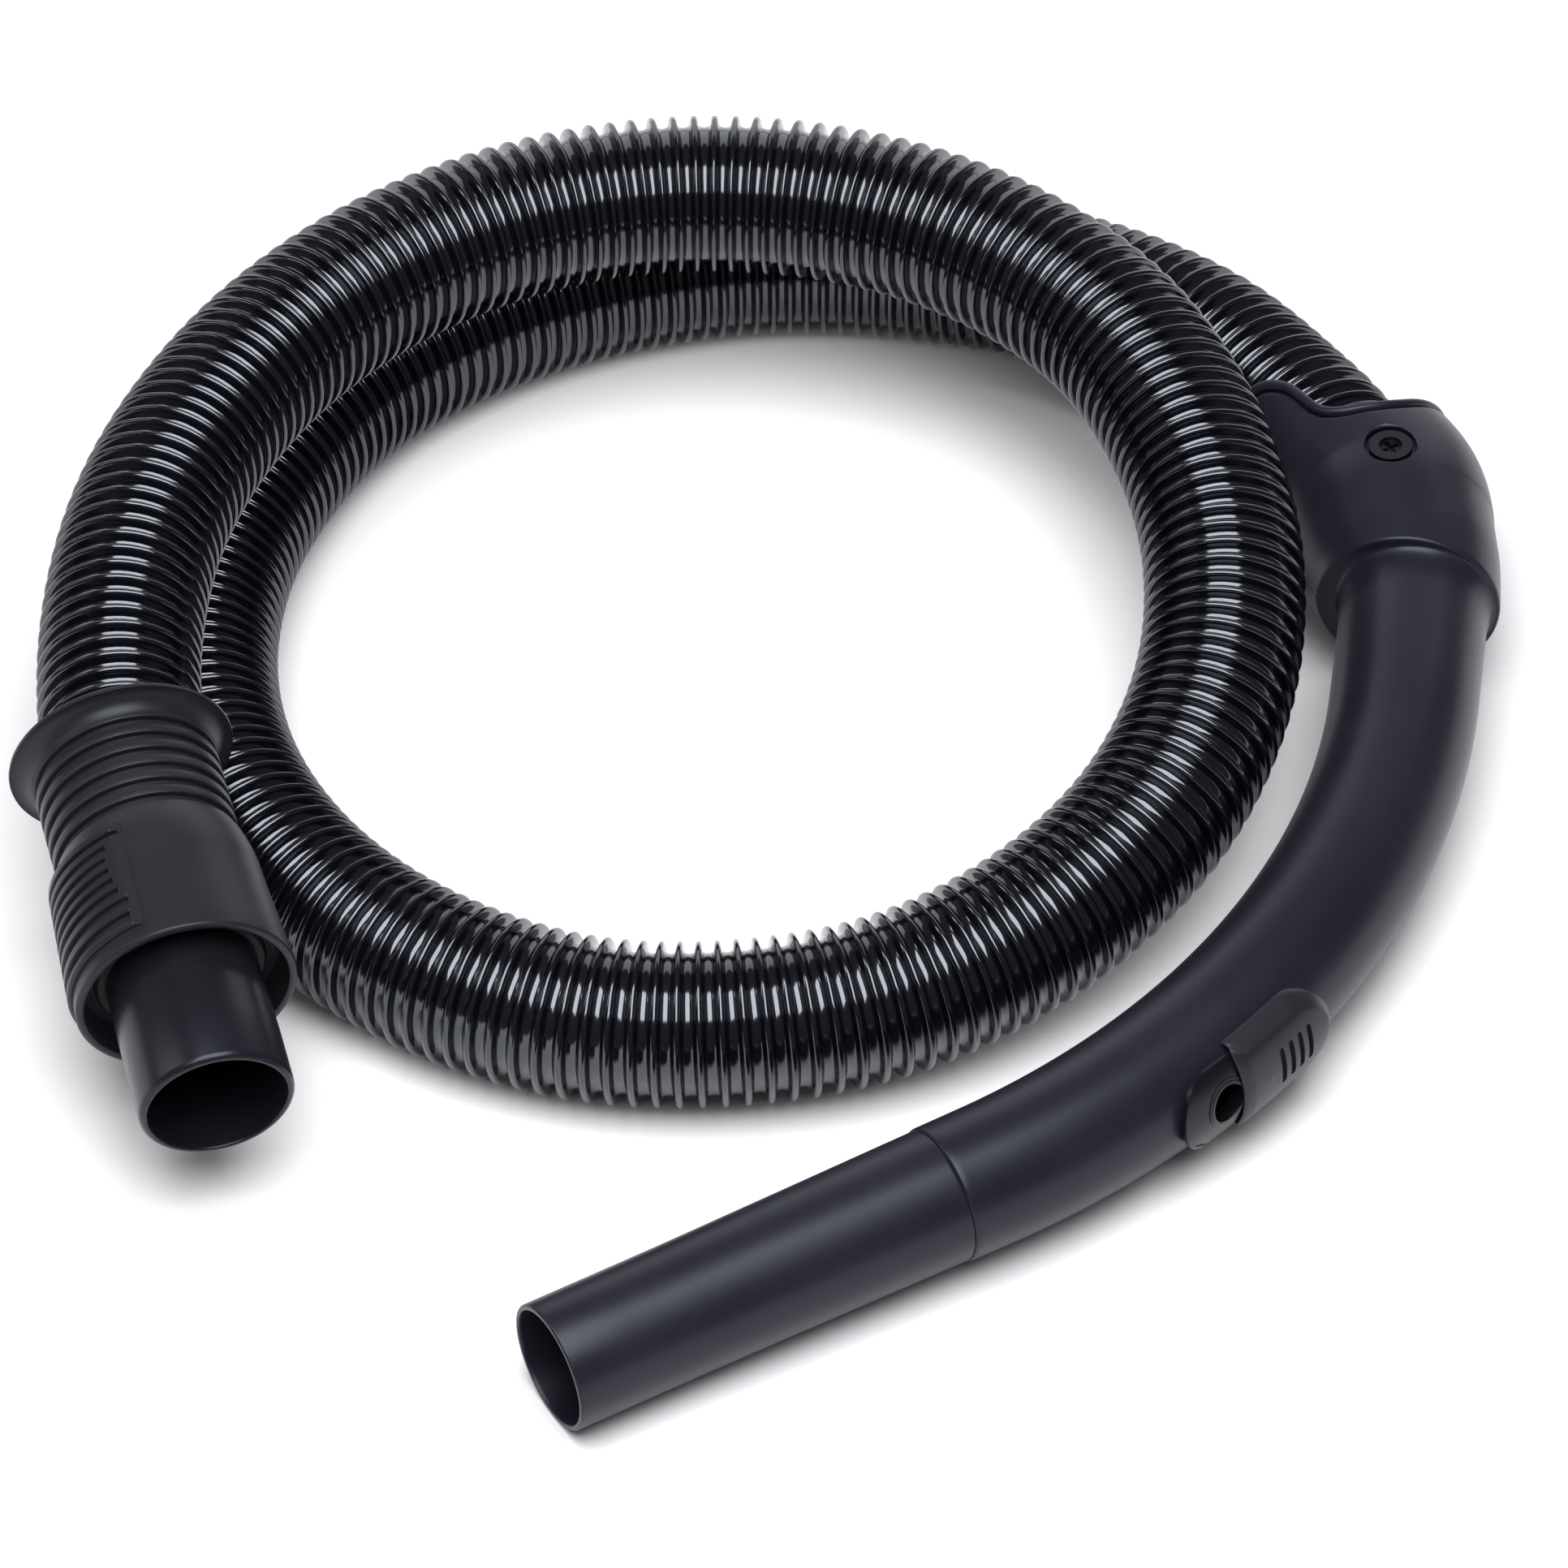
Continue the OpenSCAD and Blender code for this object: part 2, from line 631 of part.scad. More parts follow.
// Middle line of the grip tube: [length, turn] of each stretch.
stretches = [
    [elbow_start - tube_start, 0],
    [elbow_r * elbow_angle * PI / 180, elbow_angle],
    [shank_len - elbow_r * tan(elbow_angle / 2), 0],
    [bend_r * bend_angle * PI / 180, bend_angle],
    [tail_len, 0]
];
function advance(p, len, turn, s) =
    turn == 0 ? [p[0] + s * cos(p[2]), p[1] + s * sin(p[2]), p[2]]
    : let (r = len * 180 / (PI * turn), h = p[2] - turn * s / len)
      [p[0] + r * (sin(p[2]) - sin(h)), p[1] + r * (cos(h) - cos(p[2])), h];
function stretch_start(i) =
    i == 0 ? [tube_start, 0, 0]
    : advance(stretch_start(i - 1), stretches[i - 1][0], stretches[i - 1][1], stretches[i - 1][0]);
function run_before(i) = i == 0 ? 0 : run_before(i - 1) + stretches[i - 1][0];
taper_from = run_before(3);
tube_len = run_before(5);
function grip_radius(s) =
    s <= taper_from ? grip_top_r
    : lerp(grip_top_r, grip_end_r, (s - taper_from) / (tube_len - taper_from));
function stations(i) = stretches[i][1] == 0 ? 1 : i == 1 ? 6 : 17;
tube_sides = 40;
function tube_ring(i, s, inset) =
    let (p = advance(stretch_start(i), stretches[i][0], stretches[i][1], s),
         r = grip_radius(run_before(i) + s) - inset)
    [for (k = [0:tube_sides - 1]) let (a = 360 * k / tube_sides)
        [p[0] - r * cos(a) * sin(p[2]), p[1] + r * cos(a) * cos(p[2]), r * sin(a)]];
function tube_rings(inset) = concat(
    [for (i = [0:4], k = [0:stations(i) - 1])
        tube_ring(i, stretches[i][0] * k / stations(i), inset)],
    [tube_ring(4, tail_len, inset)]);
function backwards(v) = [for (i = [len(v) - 1:-1:0]) v[i]];

module grip_tube() {
    color("#3f4047") at_handle() difference() {
        union() {
            skin(concat(backwards(tube_rings(0)), tube_rings(grip_wall)));
            translate([screw_x, screw_y, grip_top_r - 1])
                cylinder(r = boss_r, h = boss_top - grip_top_r + 1);
        }
        translate([screw_x, screw_y, boss_top - screw_len - 0.2])
            cylinder(r = screw_r, h = 2 * beyond);
        at_port(port_mid) port_prism(seat_half - seat_step + slip_gap);
    }
}

module nose_tube() {
    plug_len = tail_len - 0.5;
    plug_r = grip_end_r - grip_wall - slip_gap;
    plug_bore = plug_r - 1.6;
    sized = 35;                        // length of its straight, sized stretch
    key_w = 2.6;
    key_len = 3;
    color("#3f4047") at_handle() translate([nose_x, joint_y, 0]) rotate([90, 0, 0]) difference() {
        rotate_extrude() polygon([
            [plug_bore, -plug_len], [plug_r - 0.5, -plug_len], [plug_r, -plug_len + 1],
            [plug_r, 0], [grip_end_r - 0.4, 0], [nose_r, nose_len - sized],
            [nose_r, nose_len - round_r], [nose_r - round_r, nose_len],
            [nose_r - nose_wall + 0.4, nose_len], [nose_r - nose_wall, nose_len - round_r],
            [nose_r - nose_wall, tail_len + 1.5], [plug_bore, 4]]);
        // key slot in the lower edge of the rim
        translate([-key_w / 2, -nose_r - nose_wall, nose_len - key_len])
            cube([key_w, 2 * nose_wall + 1, beyond]);
    }
}

// ---- air slider on the outer side of the bend ----
port_hole = 14.9;                      // angles round the bend's centre, from its nose end
port_left = 14;
port_roll = 6;                         // the port looks slightly upwards
hole_rim = 1.6;                        // width of the raised rim round the air hole
seat_half = 10.8;
seat_neck = 0.9;                       // the seat under its overhang is this much narrower
seat_step = 2.2;                       // and its plug in the tube's wall this much
port_r = 17.75;                        // radius of the seat's underside round the tube
seat_r = port_r + 1;
overhang_r = seat_r + 0.8;
rim_r = overhang_r + 0.2;              // raised edges on the seat
rail_gap = 0.2;                        // clearance of the cap's rails under the overhang
cap_r = port_r + cap_height;
cap_wall = 1.5;
cap_foot = seat_half + 0.4;
cap_skirt = 1.2;
closed_lap = 0.95;                     // the closed cap reaches this far past the hole's rim
end_gap = 0.6;                         // the cap's round end stops this far short of the seat's
cap_grooves = 4;
cap_groove_first = 4.9;                // grooves: angle from the cap's round end, and between them
cap_groove_turn = 0.83;
cap_groove_w = 0.9;
cap_groove_len = 10.4;
cap_groove_cut = 0.8;
prism_from = 8;                        // the port's pieces are cut out of this stretch of the
prism_len = 24;                        // distance from the tube's middle
degree = PI * (bend_r + port_r) / 180;  // length of one degree at the seat's underside
slider_turn = slider_travel / degree;
cap_left = port_hole + slider_turn - (air_hole_r + hole_rim + closed_lap) / degree;
cap_right = 24.4;
cap_end = cap_right - (cap_foot + cap_skirt) / degree;
port_right = cap_end - slider_turn + (cap_foot - seat_half - end_gap) / degree;
port_mid = (port_left + port_right) / 2;

// x' points out of the tube, y' towards the clamshell, at angle a of the bend
module at_port(a) {
    translate([bend_centre[0], bend_centre[1], 0]) rotate([0, 0, a]) translate([bend_r, 0, 0])
        rotate([0, -port_roll, 0]) children();
}

module torus_shell(outer, inner, from_a, to_a) {
    translate([bend_centre[0], bend_centre[1], 0]) rotate([0, 0, from_a])
        rotate_extrude(angle = to_a - from_a) translate([bend_r, 0]) difference() {
            circle(r = outer);
            circle(r = inner);
        }
}

// Long outline with two round ends, pushed outwards from the tube's middle.
module port_prism(half) {
    ends = (port_right - port_left) / 2 * degree;
    rotate([90, 0, 90]) translate([0, 0, prism_from]) linear_extrude(height = prism_len) {
        translate([-ends, 0]) circle(r = half);
        translate([ends, 0]) circle(r = half);
        translate([-ends, -half]) square([2 * ends, 2 * half]);
    }
}

module patch(outer, inner, half) {
    intersection() {
        torus_shell(outer, inner, port_left - beyond, port_right + beyond);
        at_port(port_mid) port_prism(half);
    }
}

module air_seat() {
    color("#1f2024") at_handle() difference() {
        union() {
            patch(port_r + tiny, port_r - grip_wall, seat_half - seat_step);
            patch(seat_r, port_r, seat_half - seat_neck);
            patch(overhang_r, seat_r - tiny, seat_half);
            intersection() {
                torus_shell(rim_r, seat_r, port_left - beyond, port_left + beyond);
                at_port(port_hole) rotate([0, 90, 0])
                    cylinder(r = air_hole_r + hole_rim, h = prism_from + prism_len);
            }
            intersection() {
                difference() {
                    patch(rim_r, overhang_r - tiny, seat_half);
                    at_port(port_mid) port_prism(seat_half - 1);
                }
                torus_shell(prism_from + prism_len, prism_from, port_left - beyond,
                            port_left - 0.9);
            }
        }
        at_port(port_hole) rotate([0, 90, 0])
            cylinder(r = air_hole_r, h = prism_from + prism_len);
    }
}

// Everything on the tube's outer side between two planes across the cap's width.
module cap_prism(half) {
    rotate([90, 0, 90]) translate([0, 0, prism_from]) linear_extrude(height = prism_len) {
        circle(r = half);
        translate([-far, -half]) square([far, 2 * half]);
    }
}

module air_slider() {
    rail_right = port_right - 1;
    rail_half = seat_half - end_gap;
    color("#303137") at_handle() difference() {
        intersection() {
            torus_shell(cap_r, port_r + rail_gap, cap_left, cap_right + beyond);
            at_port(cap_end) cap_prism(cap_foot + cap_skirt);
        }
        // hollow over the seat, but for the two rails that grip its overhang
        difference() {
            intersection() {
                torus_shell(cap_r - cap_wall, port_r - 1, cap_left - 1, cap_right + beyond);
                at_port(cap_end) cap_prism(cap_foot);
            }
            intersection() {
                torus_shell(seat_r - rail_gap, port_r, cap_left - 1, rail_right);
                at_port(cap_end) difference() {
                    translate([prism_from, -far, -far])
                        cube([prism_len, far + seat_half, 2 * far]);
                    translate([0, -far - 1, -rail_half]) cube([far, 2 * far, 2 * rail_half]);
                }
            }
        }
        for (i = [0:cap_grooves - 1]) at_port(cap_right - cap_groove_first + i * cap_groove_turn)
            translate([cap_r - cap_groove_cut, -cap_groove_w / 2, -cap_groove_len / 2])
                cube([beyond, cap_groove_w, cap_groove_len]);
    }
}

// Bowed steel leaf under the cap that rubs on the seat and holds the cap where it is put.
module slider_spring() {
    leaf_w = 5;
    leaf_gap = 0.05;
    leaf_turn = 1.9;
    leaf_left = port_hole + slider_turn + (air_hole_r + hole_rim + 0.4) / degree;
    color("#b9bcc2") at_handle() intersection() {
        torus_shell(cap_r - cap_wall - leaf_gap, overhang_r + leaf_gap, leaf_left,
                    leaf_left + leaf_turn);
        at_port(port_mid) translate([prism_from, -far, -leaf_w / 2])
            cube([prism_len, 2 * far, leaf_w]);
    }
}

hose();
machine_ferrule();
machine_swivel_ring();
cuff();
spigot();
spigot_seal();
latch();
latch_pin();
latch_spring();
handle_ferrule();
shell_cover();
shell_base();
cover_screw();
tube_seal();
grip_tube();
nose_tube();
air_seat();
air_slider();
slider_spring();
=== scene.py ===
"""Looks of the vacuum hose: a corrugated hose, its machine connector and its bent handle.

Everything is in metres in the CAD frame.  Sizes in the tables below are in millimetres
and are turned into metres where they are used.
"""
import json
import math

import bmesh
import bpy
import numpy as np
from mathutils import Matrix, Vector


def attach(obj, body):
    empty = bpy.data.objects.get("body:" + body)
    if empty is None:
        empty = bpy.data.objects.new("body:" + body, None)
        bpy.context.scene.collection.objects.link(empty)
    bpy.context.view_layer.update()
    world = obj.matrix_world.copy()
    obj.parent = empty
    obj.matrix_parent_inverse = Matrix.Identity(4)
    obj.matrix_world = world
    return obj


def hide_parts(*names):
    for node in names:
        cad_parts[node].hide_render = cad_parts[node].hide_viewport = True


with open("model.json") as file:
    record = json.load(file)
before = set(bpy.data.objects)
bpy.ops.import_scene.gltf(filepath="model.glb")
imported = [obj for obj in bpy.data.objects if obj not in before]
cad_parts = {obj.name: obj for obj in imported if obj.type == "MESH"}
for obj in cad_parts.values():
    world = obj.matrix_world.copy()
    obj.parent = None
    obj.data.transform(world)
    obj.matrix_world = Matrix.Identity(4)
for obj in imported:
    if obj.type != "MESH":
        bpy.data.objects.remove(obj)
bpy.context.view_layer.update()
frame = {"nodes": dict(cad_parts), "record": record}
nodes = frame["nodes"]
scene = bpy.context.scene
scene.view_settings.view_transform = "Standard"
MM = 0.001


# ---------------------------------------------------------------- camera, floor and light
LOOK_AT = Vector((4, 37, 25)) * MM
ELEVATION = math.radians(43)
DISTANCE = 2.4
LENS = 225.84                   # millimetres on a sensor SENSOR wide
SENSOR = 36
CLIP = (0.05, 50)
FLOOR_HALF = 12
FLOOR_DROP = 0.0002             # the floor lies this far under the part


def make_camera():
    """Camera at the photograph's viewing angle."""
    data = bpy.data.cameras.new("camera")
    data.lens = LENS
    data.sensor_width = SENSOR
    data.clip_start, data.clip_end = CLIP
    camera = bpy.data.objects.new("camera", data)
    back = Vector((0, -math.cos(ELEVATION), math.sin(ELEVATION)))
    camera.location = LOOK_AT + back * DISTANCE
    camera.rotation_mode = "QUATERNION"
    camera.rotation_quaternion = (-back).to_track_quat("-Z", "Y")
    scene.collection.objects.link(camera)
    scene.camera = camera


def area_light(name, place, aim, size, power, colour=(1, 1, 1)):
    data = bpy.data.lights.new(name, "AREA")
    data.shape = "RECTANGLE"
    data.size, data.size_y = size
    data.energy = power
    data.color = colour
    lamp = bpy.data.objects.new(name, data)
    lamp.location = place
    direction = Vector(aim) - Vector(place)
    lamp.rotation_mode = "QUATERNION"
    lamp.rotation_quaternion = direction.to_track_quat("-Z", "Y")
    scene.collection.objects.link(lamp)


def make_studio():
    """Three soft lamps, a dim world and a plain white floor."""
    area_light("overhead_softbox", (0.0, -0.5, 1.6), (0, 0.05, 0), (1.4, 1.45), 47,
               (0.98, 0.99, 1))
    area_light("white_backdrop", (0.0, 1.9, 0.75), (0, 0, 0.2), (3.2, 1.4), 17, (0.95, 0.97, 1))
    area_light("left_strip", (-1.5, 0.1, 1.0), (0, 0, 0), (0.2, 1.2), 3.5)
    world = bpy.data.worlds.new("studio")
    world.use_nodes = True
    background = world.node_tree.nodes["Background"]
    background.inputs["Color"].default_value = (0.95, 0.96, 1, 1)
    background.inputs["Strength"].default_value = 0.1
    scene.world = world
    floor_mesh = bpy.data.meshes.new("floor")
    corners = [(x * FLOOR_HALF, y * FLOOR_HALF, 0) for x, y in ((-1, -1), (1, -1), (1, 1), (-1, 1))]
    floor_mesh.from_pydata(corners, [], [(0, 1, 2, 3)])
    floor = bpy.data.objects.new("floor", floor_mesh)
    floor.location.z = -FLOOR_DROP
    scene.collection.objects.link(floor)
    paint = bpy.data.materials.new("floor_white")
    paint.use_nodes = True
    shader = paint.node_tree.nodes["Principled BSDF"]
    shader.inputs["Base Color"].default_value = (0.93, 0.93, 0.935, 1)
    shader.inputs["Roughness"].default_value = 0.9
    shader.inputs["Specular IOR Level"].default_value = 0
    floor_mesh.materials.append(paint)


# ---------------------------------------------------------------- materials
COOL_TINT = (0.86, 0.9, 1, 1)   # of the plastics' reflections
PATCH_SCALE = 28.0
TONE_SPREAD = 0.12
TONE_RAMP = (0.35, 0.65)
BUMP_DEPTH = 0.0001


def add_node(tree, kind, **inputs):
    """Shader node with its sockets set by name."""
    node = tree.nodes.new(kind)
    for name, value in inputs.items():
        node.inputs[name.replace("_", " ")].default_value = value
    return node


def plastic(name, colour, rough, grain=1800, bump=0.02, patch=0.12, shine=0.3):
    """Moulded plastic: fine grain in the bump, slow patches in the gloss and the colour."""
    material = bpy.data.materials.new(name)
    material.use_nodes = True
    tree = material.node_tree
    shader = tree.nodes["Principled BSDF"]
    shader.inputs["Specular IOR Level"].default_value = shine
    shader.inputs["Specular Tint"].default_value = COOL_TINT
    place = tree.nodes.new("ShaderNodeTexCoord").outputs["Object"]
    fine = add_node(tree, "ShaderNodeTexNoise", Scale=grain, Detail=4.0, Roughness=0.6)
    slow = add_node(tree, "ShaderNodeTexNoise", Scale=PATCH_SCALE, Detail=5.0, Roughness=0.55)
    for noise in (fine, slow):
        tree.links.new(place, noise.inputs["Vector"])
    gloss = tree.nodes.new("ShaderNodeMapRange")
    gloss.inputs["To Min"].default_value = rough * (1 - patch)
    gloss.inputs["To Max"].default_value = rough * (1 + patch)
    tree.links.new(slow.outputs["Fac"], gloss.inputs["Value"])
    tree.links.new(gloss.outputs["Result"], shader.inputs["Roughness"])
    tone = tree.nodes.new("ShaderNodeValToRGB")
    factors = (1 - TONE_SPREAD, 1 + TONE_SPREAD)
    for element, position, factor in zip(tone.color_ramp.elements, TONE_RAMP, factors):
        element.position = position
        element.color = tuple(min(1, c * factor) for c in colour) + (1,)
    tree.links.new(slow.outputs["Fac"], tone.inputs["Fac"])
    tree.links.new(tone.outputs["Color"], shader.inputs["Base Color"])
    relief = add_node(tree, "ShaderNodeBump", Strength=bump * 10, Distance=BUMP_DEPTH)
    tree.links.new(fine.outputs["Fac"], relief.inputs["Height"])
    tree.links.new(relief.outputs["Normal"], shader.inputs["Normal"])
    return material


def metal(name, colour, rough):
    """Metal with the plastics' grain and patches."""
    material = plastic(name, colour, rough, grain=900, bump=0.01, patch=0.3)
    material.node_tree.nodes["Principled BSDF"].inputs["Metallic"].default_value = 1.0
    return material


def make_materials():
    return {
        "hose": plastic("hose_black", (0.003, 0.003, 0.005), 0.12, grain=900, bump=0.01,
                        patch=0.15, shine=1.0),
        "ferrule": plastic("ferrule_black", (0.02, 0.02, 0.022), 0.4),
        "bearing": plastic("bearing_natural", (0.62, 0.61, 0.56), 0.4),
        "connector": plastic("connector_grey", (0.013, 0.013, 0.017), 0.4),
        "spigot": plastic("spigot_grey", (0.009, 0.009, 0.013), 0.27),
        "seal": plastic("seal_rubber", (0.008, 0.008, 0.008), 0.6, grain=1200, bump=0.04),
        "latch": plastic("latch_grey", (0.012, 0.012, 0.016), 0.4),
        "steel": metal("steel", (0.55, 0.56, 0.58), 0.3),
        "handle": plastic("handle_grey", (0.011, 0.011, 0.018), 0.35),
        "screw": metal("screw_blackened", (0.04, 0.04, 0.05), 0.36),
        "tube": plastic("tube_grey", (0.011, 0.011, 0.018), 0.35),
        "seat": plastic("seat_black", (0.004, 0.004, 0.005), 0.3),
        "slider": plastic("slider_grey", (0.014, 0.014, 0.018), 0.36, shine=0.35),
    }


# ---------------------------------------------------------------- mesh helpers
own_pieces = []                 # every mesh that this script adds to the part


def new_piece(name, vertices, faces, body, slot):
    """Smooth-shaded piece from points in world metres, riding on a body, with its material."""
    mesh = bpy.data.meshes.new(name)
    mesh.from_pydata([tuple(v) for v in vertices], [], faces)
    mesh.validate()
    mesh.shade_smooth()
    piece = bpy.data.objects.new(name, mesh)
    scene.collection.objects.link(piece)
    mesh.materials.append(materials[slot])
    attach(piece, body)
    own_pieces.append(piece)
    return piece


def grid_faces(rings, sides, close_loop=False):
    """Quads between rings of the same number of points."""
    faces = []
    for i in range(rings if close_loop else rings - 1):
        for k in range(sides):
            a, b = i * sides + k, i * sides + (k + 1) % sides
            c, d = ((i + 1) % rings) * sides + (k + 1) % sides, ((i + 1) % rings) * sides + k
            faces.append((a, b, c, d))
    return faces


def capped_faces(rings, sides):
    """Quads between rings, with a lid on the first ring and on the last."""
    last = (rings - 1) * sides
    return grid_faces(rings, sides) + [tuple(range(sides))[::-1],
                                       tuple(range(last, last + sides))]


def face_outwards(piece):
    """Turns the faces of every closed shell outwards."""
    work = bmesh.new()
    work.from_mesh(piece.data)
    bmesh.ops.recalc_face_normals(work, faces=work.faces)
    work.to_mesh(piece.data)
    work.free()


def unit(v):
    return v / np.linalg.norm(v)


def with_ends(points):
    """Curve knots with one more at each end, in line with the last two."""
    knots = [np.array(p, float) for p in points]
    return [2 * knots[0] - knots[1]] + knots + [2 * knots[-1] - knots[-2]]


def between(p, q, r, s, t):
    """Catmull-Rom point at share t between the middle two of four knots."""
    return 0.5 * (2 * q + (r - p) * t + (2 * p - 5 * q + 4 * r - s) * t * t
                  + (3 * q - p - 3 * r + s) * t ** 3)


def smooth_path(points, steps):
    """Catmull-Rom curve through points, in so many steps from each to the next."""
    knots = with_ends(points)
    curve = [between(*knots[i:i + 4], t)
             for i in range(len(points) - 1) for t in np.arange(steps) / steps]
    return np.array(curve + [knots[-2]])


def cut(piece, vertices, faces):
    """Takes a closed cutter (world millimetres) out of a piece, for good."""
    mesh = bpy.data.meshes.new("cutter")
    mesh.from_pydata([tuple(v) for v in np.asarray(vertices) * MM], [], faces)
    cutter = bpy.data.objects.new("cutter", mesh)
    scene.collection.objects.link(cutter)
    modifier = piece.modifiers.new("cut", "BOOLEAN")
    modifier.operation = "DIFFERENCE"
    modifier.solver = "EXACT"
    modifier.object = cutter
    bpy.context.view_layer.update()
    view = bpy.context.evaluated_depsgraph_get()
    result = bpy.data.meshes.new_from_object(piece.evaluated_get(view))
    piece.modifiers.clear()
    old = piece.data
    piece.data = result
    result.name = old.name
    bpy.data.meshes.remove(old)
    bpy.data.objects.remove(cutter)
    bpy.data.meshes.remove(mesh)


def fuse(piece, vertices, faces):
    """Adds a second shell to a piece's mesh."""
    mesh = piece.data
    old_v = [tuple(v.co) for v in mesh.vertices]
    old_f = [tuple(p.vertices) for p in mesh.polygons]
    offset = len(old_v)
    new = bpy.data.meshes.new(mesh.name)
    new.from_pydata(old_v + [tuple(v) for v in np.asarray(vertices) * MM], [],
                    old_f + [tuple(i + offset for i in f) for f in faces])
    for material in mesh.materials:
        new.materials.append(material)
    new.shade_smooth()
    piece.data = new


def sharpen(piece, angle):
    """Smooth shading that keeps every edge sharper than the angle."""
    piece.data.shade_smooth()
    piece.data.set_sharp_from_angle(angle=math.radians(angle))


def prism(outline, low, high, place):
    """Closed prism over an outline of (a, b) pairs; place(a, b, c) gives its world points."""
    n = len(outline)
    vertices = [place(a, b, c) for c in (low, high) for a, b in outline]
    faces = [tuple(range(n))[::-1], tuple(range(n, 2 * n))]
    faces += [(i, (i + 1) % n, n + (i + 1) % n, n + i) for i in range(n)]
    return vertices, faces


def box_of(x, y, z, place):
    """Closed box between pairs of x, y and z."""
    return prism([(x[0], y[0]), (x[1], y[0]), (x[1], y[1]), (x[0], y[1])], z[0], z[1], place)


def lathe(profile, place, sides=72):
    """Closed ring from a closed profile of (radius, height); place(x, y, z) gives world points."""
    turns = np.arange(sides) * 2 * math.pi / sides
    vertices = [place(r * math.cos(a), r * math.sin(a), h) for r, h in profile for a in turns]
    return vertices, grid_faces(len(profile), sides, True)


def turned(profile, place, sides=72):
    """Solid of revolution from an open profile, with a flat lid on both ends."""
    return lathe(profile, place, sides)[0], capped_faces(len(profile), sides)


def sector(profile, low, high, place, steps=48):
    """Closed sector of a closed profile of (radius, height), between two angles in degrees."""
    angles = np.radians(np.linspace(low, high, steps))
    vertices = [place(r * math.cos(a), r * math.sin(a), h) for a in angles for r, h in profile]
    return vertices, capped_faces(steps, len(profile))


def soft_step(x):
    """Smooth rise from 0 to 1 while x goes from 0 to 1."""
    return x * x * (3 - 2 * x)


# ---------------------------------------------------------------- hose
HOSE_R = 20.0
HOSE_BORE = 16.0
RIB_DEPTH = 3.0
RIBS = 280
HOSE_SIDES = 52
LINE_STEPS = 16                 # points of the middle line from each knot to the next
BORE_RINGS = 160
TANGENT_REACH = 4               # the hose's direction is taken over this length to each side
# first half of a rib, as (share of the pitch, share of the rib's height)
RIB_HALF = [(0.0, 0.0), (0.12, 0.03), (0.22, 0.1), (0.28, 0.2), (0.318, 0.6), (0.335, 0.76),
            (0.37, 0.88), (0.42, 0.965), (0.5, 1.0)]
MACHINE_LIP = np.array((-155.5, 14.5, 55.8))
MACHINE_HEADING = math.radians(-75.1)
MACHINE_DIP = math.radians(9.4)
MACHINE_HOSE_END = 56           # the hose reaches this far into the connector
HANDLE_PIVOT = np.array((141.5, 159, 26.5))
HANDLE_HEADING = math.radians(-60)
HANDLE_HOSE_END = 24            # and this far past the handle's pivot
END_STEP = 25                   # between the knots in its straight ends
# knots of the middle line between its two ends
HOSE_ROUTE = [
    (-157, 49, 59), (-153, 89, 61), (-141, 127, 61), (-121, 162, 61), (-93, 191, 61),
    (-58, 211, 61), (-19, 219, 61), (21, 214, 61), (57, 196, 61), (86, 168, 59),
    (104, 132, 55), (112, 93, 50), (109, 54, 42), (94, 17, 35), (68, -12, 28),
    (33, -33, 23), (-6, -42, 21), (-46, -39, 20), (-83, -22, 20), (-112, 5, 20),
    (-132, 40, 20), (-141, 79, 20), (-139, 120, 20), (-127, 158, 20), (-106, 192, 20),
    (-75, 218, 20), (-39, 235, 20), (1, 243, 20), (41, 240, 20), (79, 227, 22), (111, 203, 25),
]
machine_dir = np.array((
    math.cos(MACHINE_HEADING) * math.cos(MACHINE_DIP),
    math.sin(MACHINE_HEADING) * math.cos(MACHINE_DIP), -math.sin(MACHINE_DIP)))
handle_dir = np.array((math.cos(HANDLE_HEADING), math.sin(HANDLE_HEADING), 0.0))


def hose_line():
    """Smooth middle line of the hose as a dense list of points, in millimetres."""
    start = [MACHINE_LIP + (MACHINE_HOSE_END - i * END_STEP) * machine_dir for i in range(3)]
    end = [HANDLE_PIVOT + (HANDLE_HOSE_END - (2 - i) * END_STEP * 0.75) * handle_dir
           for i in range(3)]
    points = smooth_path(start + HOSE_ROUTE + end, LINE_STEPS)
    points[:, 2] = np.maximum(points[:, 2], HOSE_R)
    return points


def rib_profile():
    """One whole rib: a hollow valley, steep walls and a round crest."""
    return RIB_HALF + [(1 - x, h) for x, h in reversed(RIB_HALF[1:-1])]


def make_hose():
    """Ribbed hose with its bore, all in one closed surface."""
    line = hose_line()
    run = np.concatenate([[0], np.cumsum(np.linalg.norm(np.diff(line, axis=0), axis=1))])
    length = run[-1]

    def point(s):
        return np.array([np.interp(s, run, line[:, k]) for k in range(3)])

    pitch = length / RIBS
    places = []
    for i in range(RIBS):
        for share, height in rib_profile():
            places.append(((i + share) * pitch, HOSE_R - RIB_DEPTH * (1 - height)))
    places.append((length, HOSE_R - RIB_DEPTH))
    inner = [(length * i / BORE_RINGS, HOSE_BORE) for i in range(BORE_RINGS, -1, -1)]
    turns = np.arange(HOSE_SIDES) * 2 * math.pi / HOSE_SIDES
    vertices, centres = [], []
    for s, radius in places + inner:
        p = point(s)
        tangent = unit(point(min(s + TANGENT_REACH, length)) - point(max(s - TANGENT_REACH, 0)))
        side = unit(np.cross(tangent, (0, 0, 1)))
        up = np.cross(side, tangent)
        ring = p + radius * (np.outer(-np.cos(turns), up) + np.outer(np.sin(turns), side))
        vertices.extend(ring * MM)
        if radius != HOSE_BORE:
            centres.append(p * MM)
    count = len(places) + len(inner)
    piece = new_piece("corrugated_hose", vertices, grid_faces(count, HOSE_SIDES, True),
                      "hose_run", "hose")
    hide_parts("hose")


